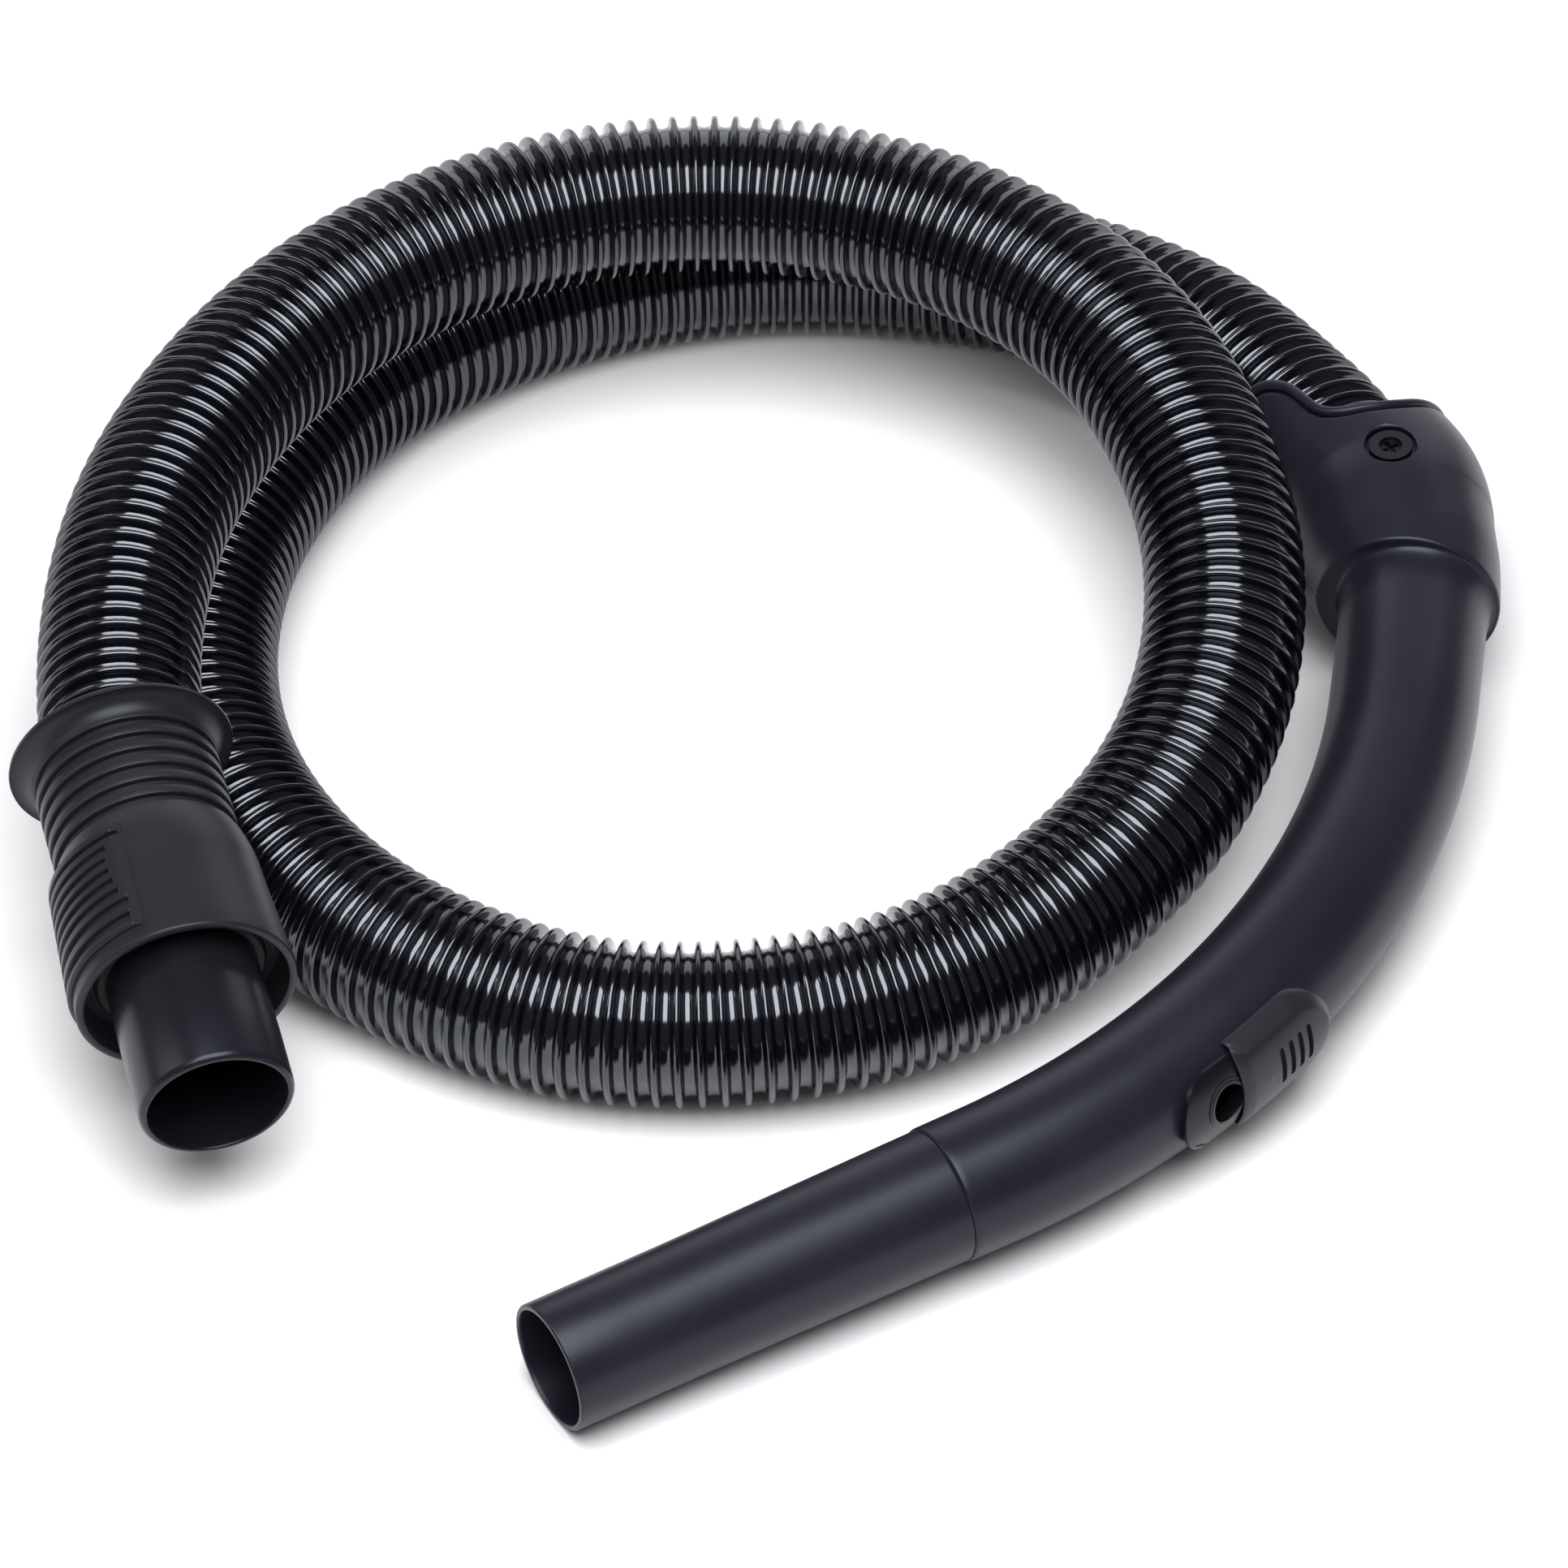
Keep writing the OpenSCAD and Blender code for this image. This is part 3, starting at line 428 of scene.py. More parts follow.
# ---------------------------------------------------------------- handle
HANDLE_TILT = math.radians(1.8729)
CORNER_X = 43.7
BEND_R = 214.0
BEND_ANGLE = math.radians(53)
ELBOW_ANGLE = math.pi / 2 - BEND_ANGLE
ELBOW_START = 30.0
ELBOW_R = (CORNER_X - ELBOW_START) / math.tan(ELBOW_ANGLE / 2)
SHANK = 54.6
TAIL = 12.5
TUBE_START = 26.6
GRIP_TOP_R = 18.4
GRIP_END_R = 16.9
GRIP_WALL = 2.0
# length and turn of the grip tube's stretches, from the hose's end to the nose
STRETCHES = [
    (ELBOW_START - TUBE_START, 0.0), (ELBOW_R * ELBOW_ANGLE, ELBOW_ANGLE),
    (SHANK - ELBOW_R * math.tan(ELBOW_ANGLE / 2), 0.0), (BEND_R * BEND_ANGLE, BEND_ANGLE),
    (TAIL, 0.0)]
BEND_CENTRE = np.array((
    CORNER_X + SHANK * math.cos(ELBOW_ANGLE) - BEND_R * math.sin(ELBOW_ANGLE),
    -SHANK * math.sin(ELBOW_ANGLE) - BEND_R * math.cos(ELBOW_ANGLE)))


def from_handle(points):
    """Points of the handle's own frame (x on from the hose, -y to the nose), as world ones."""
    points = np.asarray(points, float)
    ct, st = math.cos(HANDLE_TILT), math.sin(HANDLE_TILT)
    ch, sh = math.cos(HANDLE_HEADING), math.sin(HANDLE_HEADING)
    tilt = np.array(((1, 0, 0), (0, ct, -st), (0, st, ct)))
    turn = np.array(((ch, -sh, 0), (sh, ch, 0), (0, 0, 1)))
    return points @ (turn @ tilt).T + HANDLE_PIVOT


def tube_point(s):
    """x, y and heading of the grip tube's middle line at length s."""
    x, y, heading = TUBE_START, 0.0, 0.0
    for length, turn in STRETCHES:
        part = min(s, length)
        if turn:
            r = length / turn
            end = heading - turn * part / length
            x += r * (math.sin(heading) - math.sin(end))
            y += r * (math.cos(end) - math.cos(heading))
            heading = end
        else:
            x += part * math.cos(heading)
            y += part * math.sin(heading)
        s -= part
        if s <= 0:
            break
    return x, y, heading


TUBE_SIDES = 96
TUBE_STEPS = 132
PORT_PLAY = 2.1                 # the tube's opening is narrower than the seat, on each side
PORT_CUT = (8, 32)              # from and to here, measured out from the tube's axis


def make_grip_tube():
    """Bent, tapering tube with an opening for the air seat."""
    total = sum(length for length, _ in STRETCHES)
    taper_from = sum(length for length, _ in STRETCHES[:3])
    stations = [total * i / TUBE_STEPS for i in range(TUBE_STEPS + 1)]
    places = []
    for s in stations:
        radius = GRIP_TOP_R
        if s > taper_from:
            radius += (GRIP_END_R - GRIP_TOP_R) * (s - taper_from) / (total - taper_from)
        places.append((s, radius))
    end = places.pop()
    rim = [(0.75, 0), (0.35, 0.1), (0.08, 0.35), (0, 0.6), (0, GRIP_WALL)]
    outside = places[::-1]
    places += [(total - back, end[1] - inset) for back, inset in rim]
    places += [(s, r - GRIP_WALL) for s, r in outside]
    turns = np.arange(TUBE_SIDES) * 2 * math.pi / TUBE_SIDES
    vertices = []
    for s, r in places:
        x, y, heading = tube_point(s)
        vertices += [(x - r * math.cos(a) * math.sin(heading),
                      y + r * math.cos(a) * math.cos(heading), r * math.sin(a)) for a in turns]
    tube = new_piece("grip_tube_skin", from_handle(vertices) * MM,
                     grid_faces(len(places), TUBE_SIDES, True), "handle", "tube")
    half = SEAT_HALF - PORT_PLAY
    ends = math.radians(PORT_RIGHT - PORT_LEFT) / 2 * (BEND_R + PORT_R)
    outline = [(side * ends + half * math.cos(a), half * math.sin(a))
               for side, first in ((-1, 90), (1, -90))
               for a in np.radians(range(first, first + 181, 6))]
    middle = math.radians((PORT_LEFT + PORT_RIGHT) / 2)
    cut(tube, *prism(outline, *PORT_CUT, lambda a, b, c: port_place(middle, c, a, b)))
    sharpen(tube, 40)
    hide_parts("grip_tube")


# ---------------------------------------------------------------- air slider
# places along the bend are in degrees round its centre, counted from its nose end
PORT_LEFT = 14.0
PORT_HOLE = 14.9
HOLE_R = 5.0
PORT_ROLL = math.radians(6)
SEAT_HALF = 10.8
PORT_R = 17.75
CAP_R = 21.45
CAP_HALF = 12.4
CAP_RIGHT = 24.4
CAP_CORNER = 1.5
SLIDER_TRAVEL = 12.0
HOLE_COVER = 7.55               # the closed cap reaches this far past the hole's middle
END_PLAY = 0.2
DEGREE = math.pi * (BEND_R + PORT_R) / 180      # length of one degree at the seat
SLIDER_TURN = SLIDER_TRAVEL / DEGREE
CAP_LEFT = PORT_HOLE + SLIDER_TURN - HOLE_COVER / DEGREE
CAP_END = CAP_RIGHT - CAP_HALF / DEGREE
PORT_RIGHT = CAP_END - SLIDER_TURN - END_PLAY / DEGREE
# the cap's surface from its hollow underside over the edge to its top, as (inset from the
# edge, distance from the tube's axis at the sides, the same at the open left end)
CAP_ROOF = 19.97
CAP_ROWS = [
    (9.4, CAP_ROOF, CAP_ROOF), (6.4, CAP_ROOF, CAP_ROOF), (3.6, CAP_ROOF, CAP_ROOF),
    (1.5, CAP_ROOF, CAP_ROOF), (1.2, 19.9, CAP_ROOF), (1.15, 18.1, 19.95), (0.9, 17.95, 19.95),
    (0.2, 17.95, 20.0), (0.0, 18.15, 20.1), (0.0, 18.7, 20.25), (0.12, 19.1, 20.5),
    (0.5, 19.5, 20.8), (1.1, 20.0, 21.0), (1.7, 20.48, 21.2), (2.3, 20.95, 21.33),
    (2.6, 21.17, 21.4), (2.9, 21.33, 21.43), (3.3, 21.42, CAP_R), (3.8, CAP_R, CAP_R),
    (5.4, CAP_R, CAP_R), (7.4, CAP_R, CAP_R), (9.4, CAP_R, CAP_R)]
LEFT_START = 5                  # the outline's first points and its last ones are the open
LEFT_LAST = 21                  # left end's
CAP_TIP = 49                    # outline points 0..98 mirror each other about this one
CAP_MIDDLE = 107                # the middle of the cap's straight left edge
THUMB_GROOVES = 4
THUMB_FIRST = 5.15              # first groove, degrees from the cap's round end
THUMB_PITCH = 0.84
THUMB_HALF_W = 0.85
THUMB_HALF_LEN = 4.4
THUMB_DEPTH = 1.2


def port_place(angle, out, along, across):
    """World point near the air port: out from the tube's axis, along it and across it."""
    x = BEND_R + out * math.cos(PORT_ROLL) - across * math.sin(PORT_ROLL)
    z = out * math.sin(PORT_ROLL) + across * math.cos(PORT_ROLL)
    c, s = math.cos(angle), math.sin(angle)
    return from_handle((BEND_CENTRE[0] + x * c - along * s, BEND_CENTRE[1] + x * s + along * c, z))


def cap_outline(inset):
    """Outline of the cap, inset from its edge, as (degrees round the bend, across)."""
    half = CAP_HALF - inset
    left = CAP_LEFT + inset / DEGREE
    flank = half - CAP_CORNER
    length = (CAP_END - left) * DEGREE

    def corner(first, side):
        return [(left + CAP_CORNER * (1 + math.cos(a)) / DEGREE,
                 side * flank + CAP_CORNER * math.sin(a))
                for a in np.radians(np.linspace(first, first + 90, 7))]

    points = corner(180, -1)
    points += [(left + x / DEGREE, -half) for x in np.linspace(CAP_CORNER + 1, length - 1, 24)]
    points += [(CAP_END + half * math.cos(a) / DEGREE, half * math.sin(a))
               for a in np.radians(np.linspace(-90, 90, 37))]
    points += [(left + x / DEGREE, half) for x in np.linspace(length - 1, CAP_CORNER + 1, 24)]
    points += corner(90, 1)
    points += [(left, y) for y in np.linspace(flank - 1, -half + CAP_CORNER + 1, 17)]
    return points


def cap_lid(row, count, base, first):
    """Closes the cap's outline number `row`: its middle line's points, and the faces."""
    spine = [base + CAP_MIDDLE] + list(range(first, first + CAP_TIP - 1))
    inset, radius, _ = CAP_ROWS[row]
    points = [port_place(math.radians(angle), radius, 0.0, 0.0)
              for angle, _ in cap_outline(inset)[1:CAP_TIP]]
    far = base + 2 * CAP_TIP
    faces = [[base, base + 1, spine[1]] + list(range(base + CAP_MIDDLE, base + count)),
             [spine[1]] + list(range(far - 1, base + CAP_MIDDLE + 1))]
    for i in range(1, CAP_TIP - 1):
        faces += [[base + i, base + i + 1, spine[i + 1], spine[i]],
                  [spine[i], spine[i + 1], far - 1 - i, far - i]]
    end, tip = spine[CAP_TIP - 1], base + CAP_TIP
    return points, faces + [[tip - 1, tip, end], [end, tip, tip + 1]]


def make_slider():
    """Hollow cap, round at one end and open at the other, with thumb grooves."""
    vertices = []
    count = len(cap_outline(0))
    for inset, side_r, left_r in CAP_ROWS:
        for i, (angle, across) in enumerate(cap_outline(inset)):
            near_left = i < LEFT_START or i >= count - LEFT_LAST
            r = left_r if near_left else side_r
            across = max(-r * 0.99, min(r * 0.99, across))
            out = math.sqrt(r * r - across * across)
            vertices.append(port_place(math.radians(angle), out, 0.0, across))
    faces = grid_faces(len(CAP_ROWS), count)
    for row, way in ((0, -1), (len(CAP_ROWS) - 1, 1)):
        points, lids = cap_lid(row, count, row * count, len(vertices))
        vertices += points
        faces += [tuple(lid[::way]) for lid in lids]
    cap = new_piece("air_slider_cap", np.array(vertices) * MM, faces, "air_slider", "slider")
    outline = [(THUMB_HALF_W * math.cos(a),
                THUMB_HALF_LEN * (1 if math.sin(a) > 0 else -1) + THUMB_HALF_W * math.sin(a))
               for a in np.radians(range(10, 360, 20))]
    for i in range(THUMB_GROOVES):
        angle = math.radians(CAP_RIGHT - THUMB_FIRST + i * THUMB_PITCH)
        cut(cap, *prism(outline, CAP_R - THUMB_DEPTH, CAP_R + 3,
                        lambda a, b, c, angle=angle: port_place(angle, c, a, b)))
    sharpen(cap, 42)
    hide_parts("air_slider")


def make_seat_rim():
    """Raised ring round the air hole."""
    profile = [(HOLE_R + wide, height) for wide, height in (
        (0, 18.9), (0, 19.5), (0.1, 19.68), (0.3, 19.78), (0.6, 19.8), (0.9, 19.78), (1.2, 19.65),
        (1.4, 19.4), (1.4, 18.9))]
    angle = math.radians(PORT_HOLE)
    vertices, faces = lathe(
        profile, lambda x, y, h: port_place(angle, math.sqrt(h * h - y * y), x, y), 64)
    rim = new_piece("air_seat_rim", np.array(vertices) * MM, faces, "handle", "seat")
    sharpen(rim, 40)


# ---------------------------------------------------------------- clamshell
SHELL_R = 26.5
SHELL_WALL = 2.2
SHELL_STRIPS = 81
SEAM = 0.2                      # half of the gap between the halves, in degrees
# knots of the shell's middle line: x, y and what its radius has over SHELL_R
SHELL_LINE = [
    (-16, 0, -0.2), (0, 0.2, 0), (13, 1, 0), (25, 0.6, 0), (37, -4.4, -0.3),
    (50.5, -8.9, -2.6), (63.2, -15, -4.8), (74.4, -23.1, -5.2), (85.6, -31.6, -5.5)]
MOUTH_S = 20.3                  # the rim's place along the shank
COVER_BACK = 3.7                # the cover starts this far behind the base's lip
SHANK_DIR = np.array((math.cos(ELBOW_ANGLE), -math.sin(ELBOW_ANGLE)))
SHANK_SIDE = np.array((math.sin(ELBOW_ANGLE), math.cos(ELBOW_ANGLE)))


def shell_centre(u):
    """Middle (x, y) of the shell and its extra radius at place u, counted in SHELL_LINE's knots."""
    knots = with_ends(SHELL_LINE)
    i = max(0, min(int(math.floor(u)), len(SHELL_LINE) - 2))
    return between(*knots[i:i + 4], u - i)


# rows of place u, middle x and y, sideways direction x and y, radius
SHELL_TABLE = []
for step in range(-10, 1641):
    u = step / 200
    centre = shell_centre(u)
    ahead = shell_centre(u + 0.05) - shell_centre(u - 0.05)
    side = unit(np.array((-ahead[1], ahead[0])))
    SHELL_TABLE.append((u, centre[0], centre[1], side[0], side[1], SHELL_R + centre[2]))
SHELL_TABLE = np.array(SHELL_TABLE)


def shell_point(u, angle, inset=0.0):
    """Point of the shell's surface, or of one that lies `inset` inside it."""
    x, y, sx, sy, r = (np.interp(u, SHELL_TABLE[:, 0], SHELL_TABLE[:, k]) for k in range(1, 6))
    r -= inset
    side = r * math.cos(angle)
    return np.array((x + side * sx, y + side * sy, r * math.sin(angle)))


# x and y of the shell's S-shaped edge over the hose, looked at from above
LIP_PATH = [
    (-12, -34), (-12, -18), (-11.2, -15.5), (-9.6, -12.8), (-6.9, -10.6), (-3.6, -9.0), (0, -8.3),
    (4, -7.9), (7.4, -7.2), (10, -5.6), (12.2, -2.6), (13.8, 1.5), (15.2, 6.2), (15.8, 11),
    (15, 17), (13.5, 22), (12, 27), (12, 34)]
LIP_CURVE = smooth_path(LIP_PATH, 14)


def lip_edge(y, back):
    """x of the line that runs `back` behind the S-shaped edge, at each y."""
    edge = np.interp(y, LIP_CURVE[:, 1], LIP_CURVE[:, 0])
    if back <= 0:
        return edge
    gap = np.abs(np.atleast_1d(y)[:, None] - LIP_CURVE[:, 1])
    ahead = LIP_CURVE[:, 0] + np.sqrt(np.maximum(back ** 2 - gap ** 2, 0))
    reach = np.where(gap < back, ahead, -99)
    return np.maximum(reach.max(axis=1), edge)


def first_crossing(inside):
    """Place along the shell's table where a rising quantity first reaches zero."""
    k = int(np.argmax(inside >= 0))
    if k == 0:
        return SHELL_TABLE[10, 0]
    f = inside[k - 1] / (inside[k - 1] - inside[k])
    return SHELL_TABLE[k - 1, 0] + f * (SHELL_TABLE[k, 0] - SHELL_TABLE[k - 1, 0])


def shell_strip(angle, inset):
    """x and y of the shell's surface at one angle, for every row of the table."""
    r = (SHELL_TABLE[:, 5] - inset) * math.cos(angle)
    return SHELL_TABLE[:, 1] + r * SHELL_TABLE[:, 3], SHELL_TABLE[:, 2] + r * SHELL_TABLE[:, 4]


def first_u(angle, back, inset=0.0):
    """Where a strip of the shell begins, over the hose."""
    x, y = shell_strip(angle, inset)
    return first_crossing(x - lip_edge(y, back))


def last_u(angle, inset=0.0):
    """Where it ends, at the rim round the grip tube."""
    x, y = shell_strip(angle, inset)
    ahead = (x - CORNER_X) * SHANK_DIR[0] + y * SHANK_DIR[1] - MOUTH_S
    return first_crossing(np.where(SHELL_TABLE[:, 0] > 3, ahead, -1))


def dish_point(angle, radius, depth):
    """Point of the dished mouth round the grip tube."""
    centre = np.array((CORNER_X, 0.0)) + (MOUTH_S - depth) * SHANK_DIR
    side = radius * math.cos(angle) * SHANK_SIDE
    return np.array((centre[0] + side[0], centre[1] + side[1], radius * math.sin(angle)))


# cove that runs out from the rim onto the grip tube: radius, depth behind the rim
COVE_LEN = 8.5
DISH = [(20.55, 0.05), (20.35, 0.0)]
DISH += [(18.42 + 1.9 * (1 - math.sin(a)), -COVE_LEN * (1 - math.cos(a)))
         for a in (math.pi / 2 * k / 14 for k in range(1, 15))]
DISH += [(18.36, -COVE_LEN), (18.36, 6.5)]
UNIT_MM = 1 / 12.6              # one millimetre along the shell's middle line, in knots
# rounded edges at both ends of a strip, as (distance from the edge, inset)
RIM_IN = ((0.0, 0.75), (0.06, 0.4), (0.22, 0.16), (0.5, 0.03), (0.9, 0.0))
RIM_OUT = ((0.8, 0.0), (0.45, 0.05), (0.18, 0.2), (0.03, 0.45), (0.0, 0.7))
# closer strips where the S-shaped edge runs nearly along the shell
FINE_ANGLES = np.arange(95, 126, 0.45)


def shell_column(angle, back):
    """One strip of a clamshell half: outside from the hose end to the mouth, and back inside."""
    start, stop = first_u(angle, back), last_u(angle)
    outer = [shell_point(start + d * UNIT_MM, angle, inset) for d, inset in RIM_IN]
    low, high = start + 1.4 * UNIT_MM, stop - 1.2 * UNIT_MM
    outer += [shell_point(low + (high - low) * i / 44, angle) for i in range(45)]
    outer += [shell_point(stop - d * UNIT_MM, angle, inset) for d, inset in RIM_OUT]
    outer += [dish_point(angle, radius, depth) for radius, depth in DISH]
    inner_stop = last_u(angle, SHELL_WALL) - 7.0 * UNIT_MM
    inner_start = first_u(angle, back, SHELL_WALL)
    inner = [shell_point(inner_stop + (inner_start - inner_stop) * i / 12, angle, SHELL_WALL)
             for i in range(13)]
    inner += [shell_point(inner_start, angle, SHELL_WALL * 0.6)]
    return outer + inner


def make_shell_half(name, node, low, high, back):
    """Half of the clamshell between two angles in degrees round its middle line."""
    fine = FINE_ANGLES[(FINE_ANGLES > low) & (FINE_ANGLES < high)]
    angles = np.radians(np.unique(np.concatenate([np.linspace(low, high, SHELL_STRIPS), fine])))
    columns = [shell_column(a, back) for a in angles]
    vertices = [p for column in columns for p in column]
    half = new_piece(name, from_handle(vertices) * MM, capped_faces(len(columns), len(columns[0])),
                     "handle", "handle")
    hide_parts(node)
    return half


SCREW = (30.4, -1.0)
SCREW_HOLE_R = 2.3
WELL_R = 6.6
WELL_FLOOR = 23.9
WELL_LINER = 0.9                # wall of the screw's well


def make_clamshell():
    """Cover with the screw's well, and base with the lip that shows in front of the cover."""
    cover = make_shell_half("clamshell_cover", "shell_cover", SEAM, 180 - SEAM, COVER_BACK)
    profile = [(WELL_R + wide, height) for wide, height in (
        (0, WELL_FLOOR - 3), (0, 25.9), (0.15, 26.15), (0.6, 26.45), (2.4, 27.2), (2.4, 30))]

    def here(x, y, z):
        return from_handle((SCREW[0] + x, SCREW[1] + y, z))

    cut(cover, *turned(profile, here))
    outside, under = WELL_R + WELL_LINER, WELL_FLOOR - 1.4
    well = [(SCREW_HOLE_R, WELL_FLOOR), (WELL_R - 0.3, WELL_FLOOR), (WELL_R, WELL_FLOOR + 0.3),
            (WELL_R, 25.8), (outside, 25.1), (outside, under), (SCREW_HOLE_R, under)]
    fuse(cover, *lathe(well, here))
    sharpen(cover, 38)
    base = make_shell_half("clamshell_base", "shell_base", 180 + SEAM, 360 - SEAM, 0.0)
    fuse(base, *lip_band())
    sharpen(base, 38)


# the lip's section, as (distance behind the edge, radius)
LIP_SECTION = [
    (0.0, 20.6), (0.0, 25.0), (0.1, 25.8), (0.4, 26.4), (0.9, 26.85), (1.5, 26.98), (2.1, 26.85),
    (2.55, 26.4), (2.75, 25.7), (2.8, 24.6), (4.6, 24.4), (4.6, 20.6)]


def lip_band():
    """Rolled lip of the base that shows between the hose and the cover's edge."""
    angles = np.unique(np.concatenate([np.linspace(-3, 183, 94), FINE_ANGLES]))
    vertices = []
    for angle in np.radians(angles):
        for back, radius in LIP_SECTION:
            u = first_u(angle, back)
            x, y, sx, sy = (np.interp(u, SHELL_TABLE[:, 0], SHELL_TABLE[:, k]) for k in range(1, 5))
            side = radius * math.cos(angle)
            vertices.append((x + side * sx, y + side * sy, radius * math.sin(angle)))
    return from_handle(vertices), capped_faces(len(angles), len(LIP_SECTION))


# ---------------------------------------------------------------- nose tube
NOSE_X = BEND_CENTRE[0] + BEND_R
JOINT_Y = BEND_CENTRE[1] - TAIL
# (radius, distance from the joint): plug, collar, taper, rounded end, and back inside
NOSE_PROFILE = [
    (13.2, -12), (14.3, -12), (14.8, -11), (14.8, 0), (16.1, 0), (16.36, 0.1), (16.48, 0.35),
    (16.48, 0.8), (16.4, 10), (16.2, 30), (16.0, 52), (15.85, 70), (15.85, 88), (15.85, 104.3),
    (15.8, 104.65), (15.62, 104.9), (15.35, 105), (14.75, 105), (14.5, 104.9), (14.36, 104.6),
    (14.3, 104), (14.2, 90), (14.0, 50), (13.9, 14), (13.2, 4)]
NOTCH = [(-1.3, 102), (1.3, 102), (1.3, 108), (-1.3, 108)]
NOTCH_DEPTH = (-19, -12)


def make_nose_tube():
    """Tapering nose with a notch in its end."""
    def here(x, y, h):
        return from_handle((NOSE_X + x, JOINT_Y - h, y))

    vertices, faces = lathe(NOSE_PROFILE, here, 112)
    nose = new_piece("nose_tube_skin", np.array(vertices) * MM, faces, "handle", "tube")
    cut(nose, *prism(NOTCH, *NOTCH_DEPTH, lambda a, b, c: here(a, c, b)))
    sharpen(nose, 40)
    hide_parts("nose_tube")


# ---------------------------------------------------------------- machine connector
MACHINE_Z = machine_dir
MACHINE_X = unit(np.array((0, 0, 1.0)) - MACHINE_Z[2] * MACHINE_Z)
MACHINE_Y = np.cross(MACHINE_Z, MACHINE_X)
NECK_R = 22.6
LIP_R = 27.5
LIP_FOOT = 1.7                  # the trumpet mouth's curve begins here
FLARE_LEN = 4.5
CUFF_GROOVES = 6
CUFF_GROOVE_FIRST = 6.9
CUFF_GROOVE_PITCH = 4.7
CUFF_GROOVE_W = 2.25
SWELL_FROM = 33                 # from here the neck widens to the skirt
SWELL_LEN = 15
SWELL = 2.5
SKIRT_END = 74
CUFF_BORE = 20.7
PIN_Y = 24.4                    # the latch's pin
PIN_T = 53.0
PIN_HOLE_R = 0.8
LATCH_FROM = 37.6
LATCH_TO = 69.4
PAD_LOW = 19.5                  # degrees round the connector
PAD_HIGH = 152.0
PAD_BORDER = 0.9                # width of the pad's rounded border
PAD_SLOPE = 3.2                 # and of its slope on the grooves' side
PAD_SLOPE_DROP = 1.05
PAD_R = 25.68                   # the pad's radius at LATCH_FROM, and what it gains to LATCH_TO
PAD_RISE = 2.12
PAD_WALL = 0.3                  # least wall under a finger groove
GROOVE_DEPTH = 1.9
GROOVE_WALL = 0.22              # a finger groove's side is this wide


def on_connector(x, y, z):
    """Point of the connector's frame (z from the lip to the spigot, x up) as a world one."""
    return np.array((x, y, z), float) @ np.array((MACHINE_X, MACHINE_Y, MACHINE_Z)) + MACHINE_LIP


def cuff_profile():
    """Closed section of the cuff, as (radius, distance from its lip)."""
    profile = [(24.6, 0.12), (25.3, 0.0), (26.2, 0.02), (26.9, 0.25), (27.35, 0.65), (27.5, 1.15),
               (27.42, LIP_FOOT)]
    for a in np.radians(np.linspace(8, 90, 13)):
        profile.append((NECK_R + (LIP_R - NECK_R) * (1 - math.sin(a)),
                        LIP_FOOT + FLARE_LEN * (1 - math.cos(a))))
    down = [(0, -0.3), (0.07, -0.1), (0.3, 0), (1.4, 0.08), (1.6, 0.3)]
    for i in range(CUFF_GROOVES):
        t, w = CUFF_GROOVE_FIRST + i * CUFF_GROOVE_PITCH, CUFF_GROOVE_W
        profile += [(NECK_R - depth, t + at) for depth, at in down]
        profile += [(NECK_R - depth, t + w - at) for depth, at in down[::-1]]
    for i in range(1, 25):
        t = i / 24
        profile.append((NECK_R + SWELL * soft_step(math.sqrt(t)), SWELL_FROM + SWELL_LEN * t))
    profile += [(25.8, 58), (26.4, 67), (26.86, 73.0), (26.84, 73.4), (26.66, 73.75), (26.3, 73.97),
                (25.3, SKIRT_END), (24.9, 73.85), (24.7, 73.4), (24.3, 64.9), (22.3, 64.9),
                (22.3, 34), (CUFF_BORE, 34)]
    for a in np.radians(np.linspace(0, 82, 12)):
        profile.append((CUFF_BORE + 3.4 * (1 - math.cos(a)), 12 * (1 - math.sin(a))))
    return profile


# finger grooves of the latch pad: middle along the connector, width, angle where it begins
FINGER_GROOVES = [
    (40.6, 1.4, 22.0), (44.0, 1.7, 30.0), (47.4, 1.8, 31.5), (50.8, 1.9, 31.0),
    (54.2, 2.0, 30.0), (57.7, 2.0, 28.5), (61.7, 2.4, 24.5), (66.2, 2.5, 25.5)]


def pad_inner(t):
    """Inner radius of the latch pad, which is thinner over the skirt's end."""
    return 23.35 if t < 63.5 else 25.5


def pad_height(t, angle):
    """Outer radius of the latch pad: its slope, its rounded border and its finger grooves."""
    radius = PAD_R + PAD_RISE * (t - LATCH_FROM) / (LATCH_TO - LATCH_FROM)
    arc = radius * math.pi / 180
    border = min(t - LATCH_FROM, LATCH_TO - t, (PAD_HIGH - angle) * arc)
    side = (angle - PAD_LOW) * arc
    drop = 0.0
    if border < PAD_BORDER:
        x = 1 - max(border, 0) / PAD_BORDER
        drop = PAD_BORDER * (1 - math.sqrt(1 - x * x))
    if side < PAD_SLOPE:
        drop = max(drop, PAD_SLOPE_DROP * soft_step(1 - max(side, 0) / PAD_SLOPE))
    for middle, width, start in FINGER_GROOVES:
        inside = min(width / 2 - abs(t - middle), (angle - start) * arc)
        if inside > -0.01:
            depth = GROOVE_DEPTH * min(1, max(0, inside + 0.02) / GROOVE_WALL)
            drop = max(drop, min(depth, radius - pad_inner(t) - PAD_WALL))
    return radius - drop


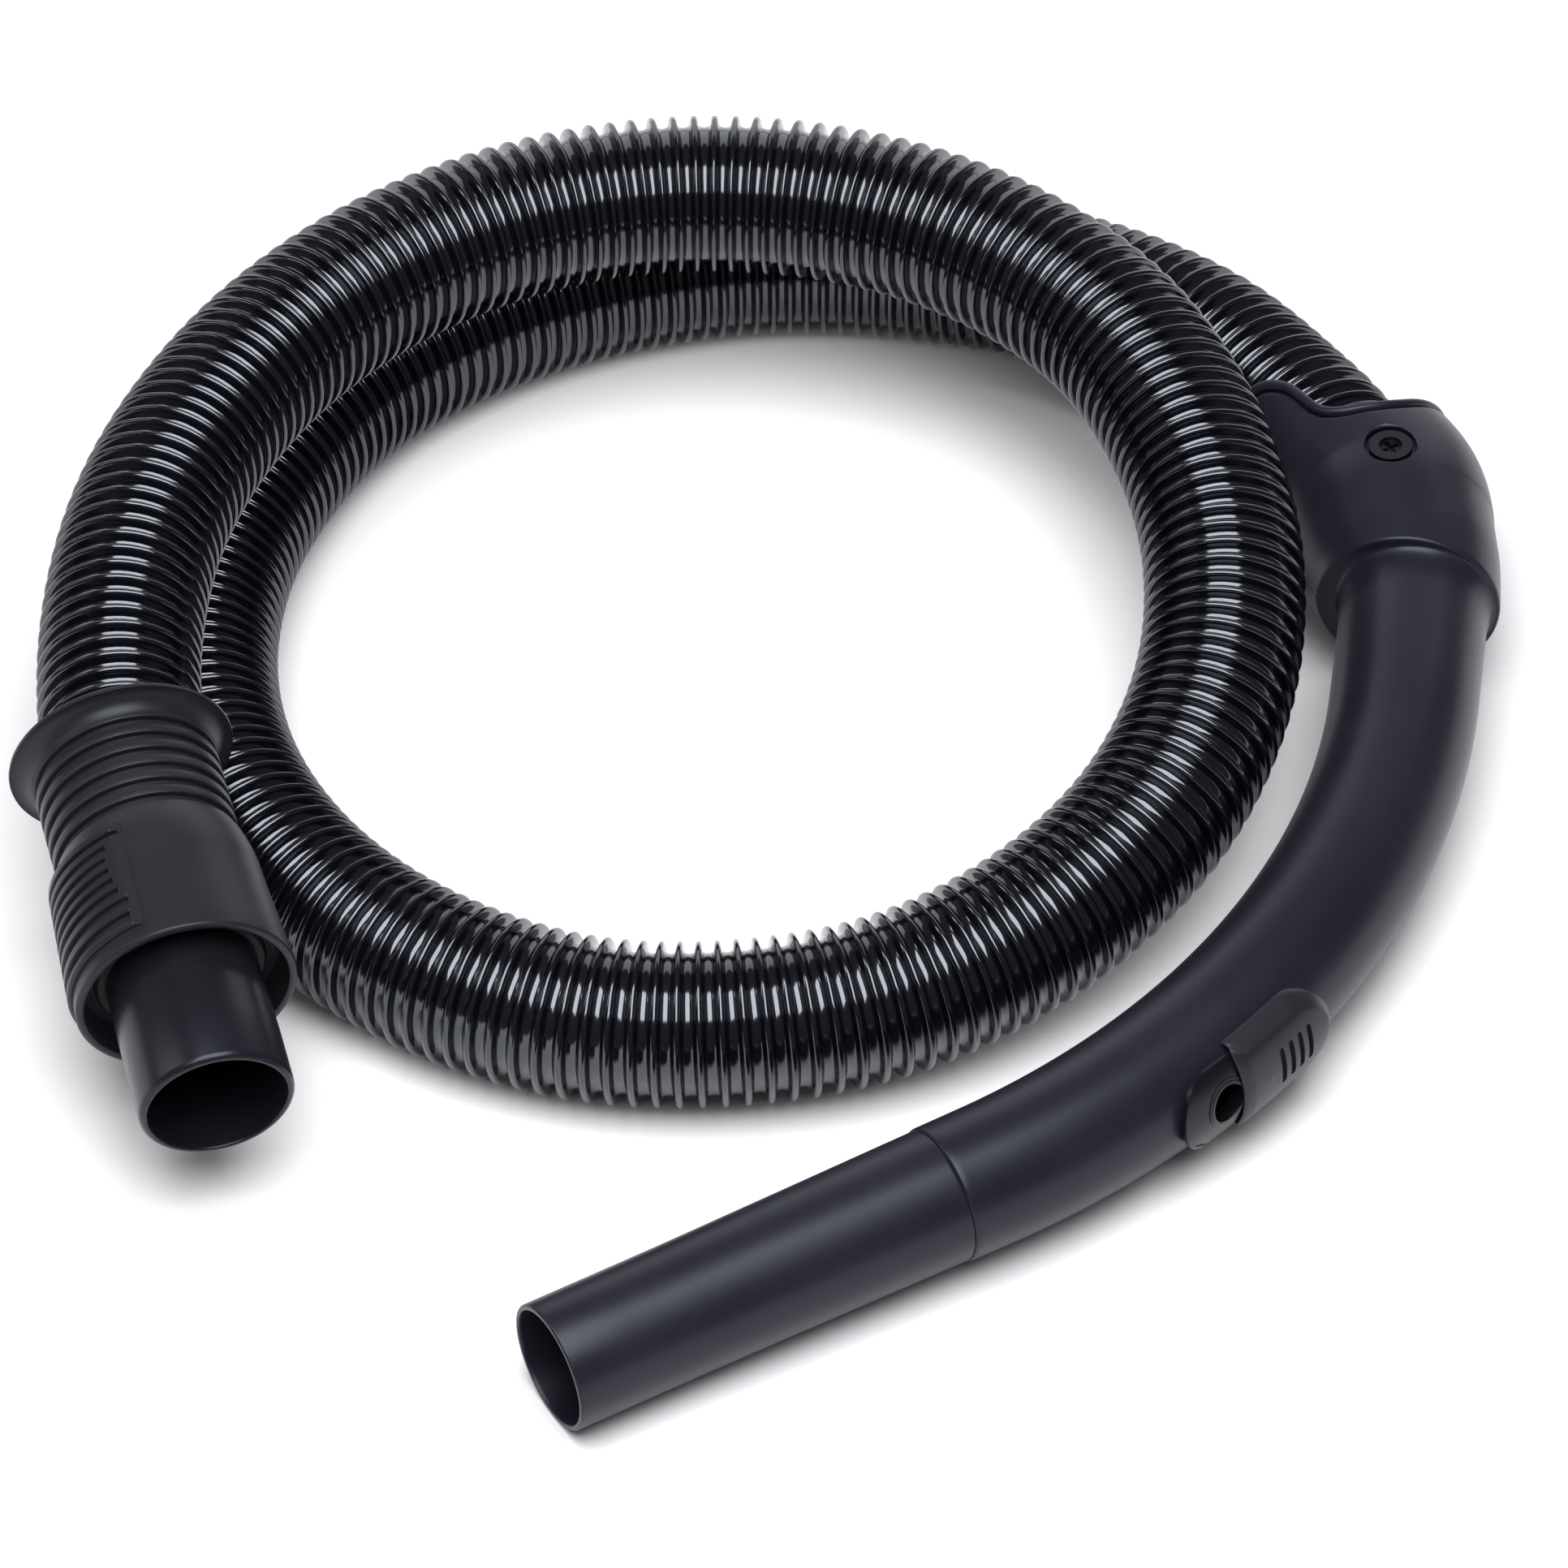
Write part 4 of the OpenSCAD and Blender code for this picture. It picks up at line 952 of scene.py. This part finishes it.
def make_latch():
    """Curved pad with its finger grooves, a pocket round the cuff's post and the pin's hole."""
    steps = (0, 0.06, 0.25, 0.55, PAD_BORDER)
    rows = [LATCH_FROM + d for d in steps] + [LATCH_TO - d for d in steps[::-1]]
    for middle, width, _ in FINGER_GROOVES:
        half = width / 2
        rows += [middle - half - 0.12, middle - half, middle - half + GROOVE_WALL, middle,
                 middle + half - GROOVE_WALL, middle + half, middle + half + 0.12]
    steps = (0, 0.15, 0.5, 1.1, 1.9)
    angles = [PAD_LOW + d for d in steps]
    angles += list(np.arange(22.5, 33.0, 0.5)) + list(np.arange(34, 148, 1.9))
    angles += [PAD_HIGH - d for d in steps[::-1]]
    vertices = []
    for t in sorted(rows):
        inner = pad_inner(t)
        ring = [(pad_height(t, a), a) for a in angles] + [(inner, a) for a in angles[::-1]]
        vertices += [on_connector(r * math.cos(math.radians(a)), r * math.sin(math.radians(a)), t)
                     for r, a in ring]
    pad = new_piece("latch_pad", np.array(vertices) * MM,
                    capped_faces(len(rows), 2 * len(angles)), "latch", "latch")
    cut(pad, *box_of((-2.8, 3.4), (20, 25.75), (PIN_T - 3.1, PIN_T + 3.1), on_connector))
    hole = [(PIN_HOLE_R * math.cos(a), PIN_HOLE_R * math.sin(a))
            for a in np.radians(range(0, 360, 20))]
    cut(pad, *prism(hole, -6.5, 6.5, lambda a, b, c: on_connector(c, PIN_Y + a, PIN_T + b)))
    sharpen(pad, 40)
    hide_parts("latch")


# sections as (radius, distance from the lip)
LATCH_RECESS = [(23.1, 36.6), (36, 36.6), (36, 70.4), (25.2, 70.4), (25.2, 65.9), (23.1, 65.9)]
SPIGOT_PROFILE = [
    (18.3, 64.9), (18.45, 75), (18.8, 91), (18.8, 105.3), (18.72, 105.8), (18.45, 106.35),
    (18.0, 106.8), (17.55, 107), (17.25, 107), (17.0, 106.85), (16.85, 106.5), (16.8, 106),
    (16.8, 59.9), (22.25, 59.9), (22.25, 64.9)]


def make_connector():
    """Cuff with the latch's recess and post, spigot, and latch."""
    vertices, faces = lathe(cuff_profile(), on_connector, 144)
    cuff = new_piece("cuff_skin", np.array(vertices) * MM, faces, "connector", "connector")
    cut(cuff, *sector(LATCH_RECESS, PAD_LOW - 0.5, PAD_HIGH + 2, on_connector))
    fuse(cuff, *box_of((-2.5, 0.6), (22.7, 25.5), (PIN_T - 2.3, PIN_T + 2.3), on_connector))
    sharpen(cuff, 38)
    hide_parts("cuff")
    vertices, faces = lathe(SPIGOT_PROFILE, on_connector, 112)
    spigot = new_piece("spigot_skin", np.array(vertices) * MM, faces, "connector", "spigot")
    sharpen(spigot, 40)
    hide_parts("spigot")
    make_latch()


# ---------------------------------------------------------------- the other CAD nodes
# nodes that a piece above stands in for
REPLACED = {"hose", "grip_tube", "shell_cover", "shell_base", "air_slider", "nose_tube", "cuff",
            "spigot", "latch"}


def tune_cad_nodes():
    """Gives each CAD node that stays in the picture its material."""
    slots = {row["node"]: row["material_slot"] for row in frame["record"]["subparts"]}
    for name, piece in nodes.items():
        if name not in REPLACED:
            piece.data.materials.clear()
            piece.data.materials.append(materials[slots[name]])


make_camera()
make_studio()
materials = make_materials()
make_hose()
make_grip_tube()
make_slider()
make_seat_rim()
make_nose_tube()
make_clamshell()
make_connector()
tune_cad_nodes()

for own in own_pieces:
    face_outwards(own)
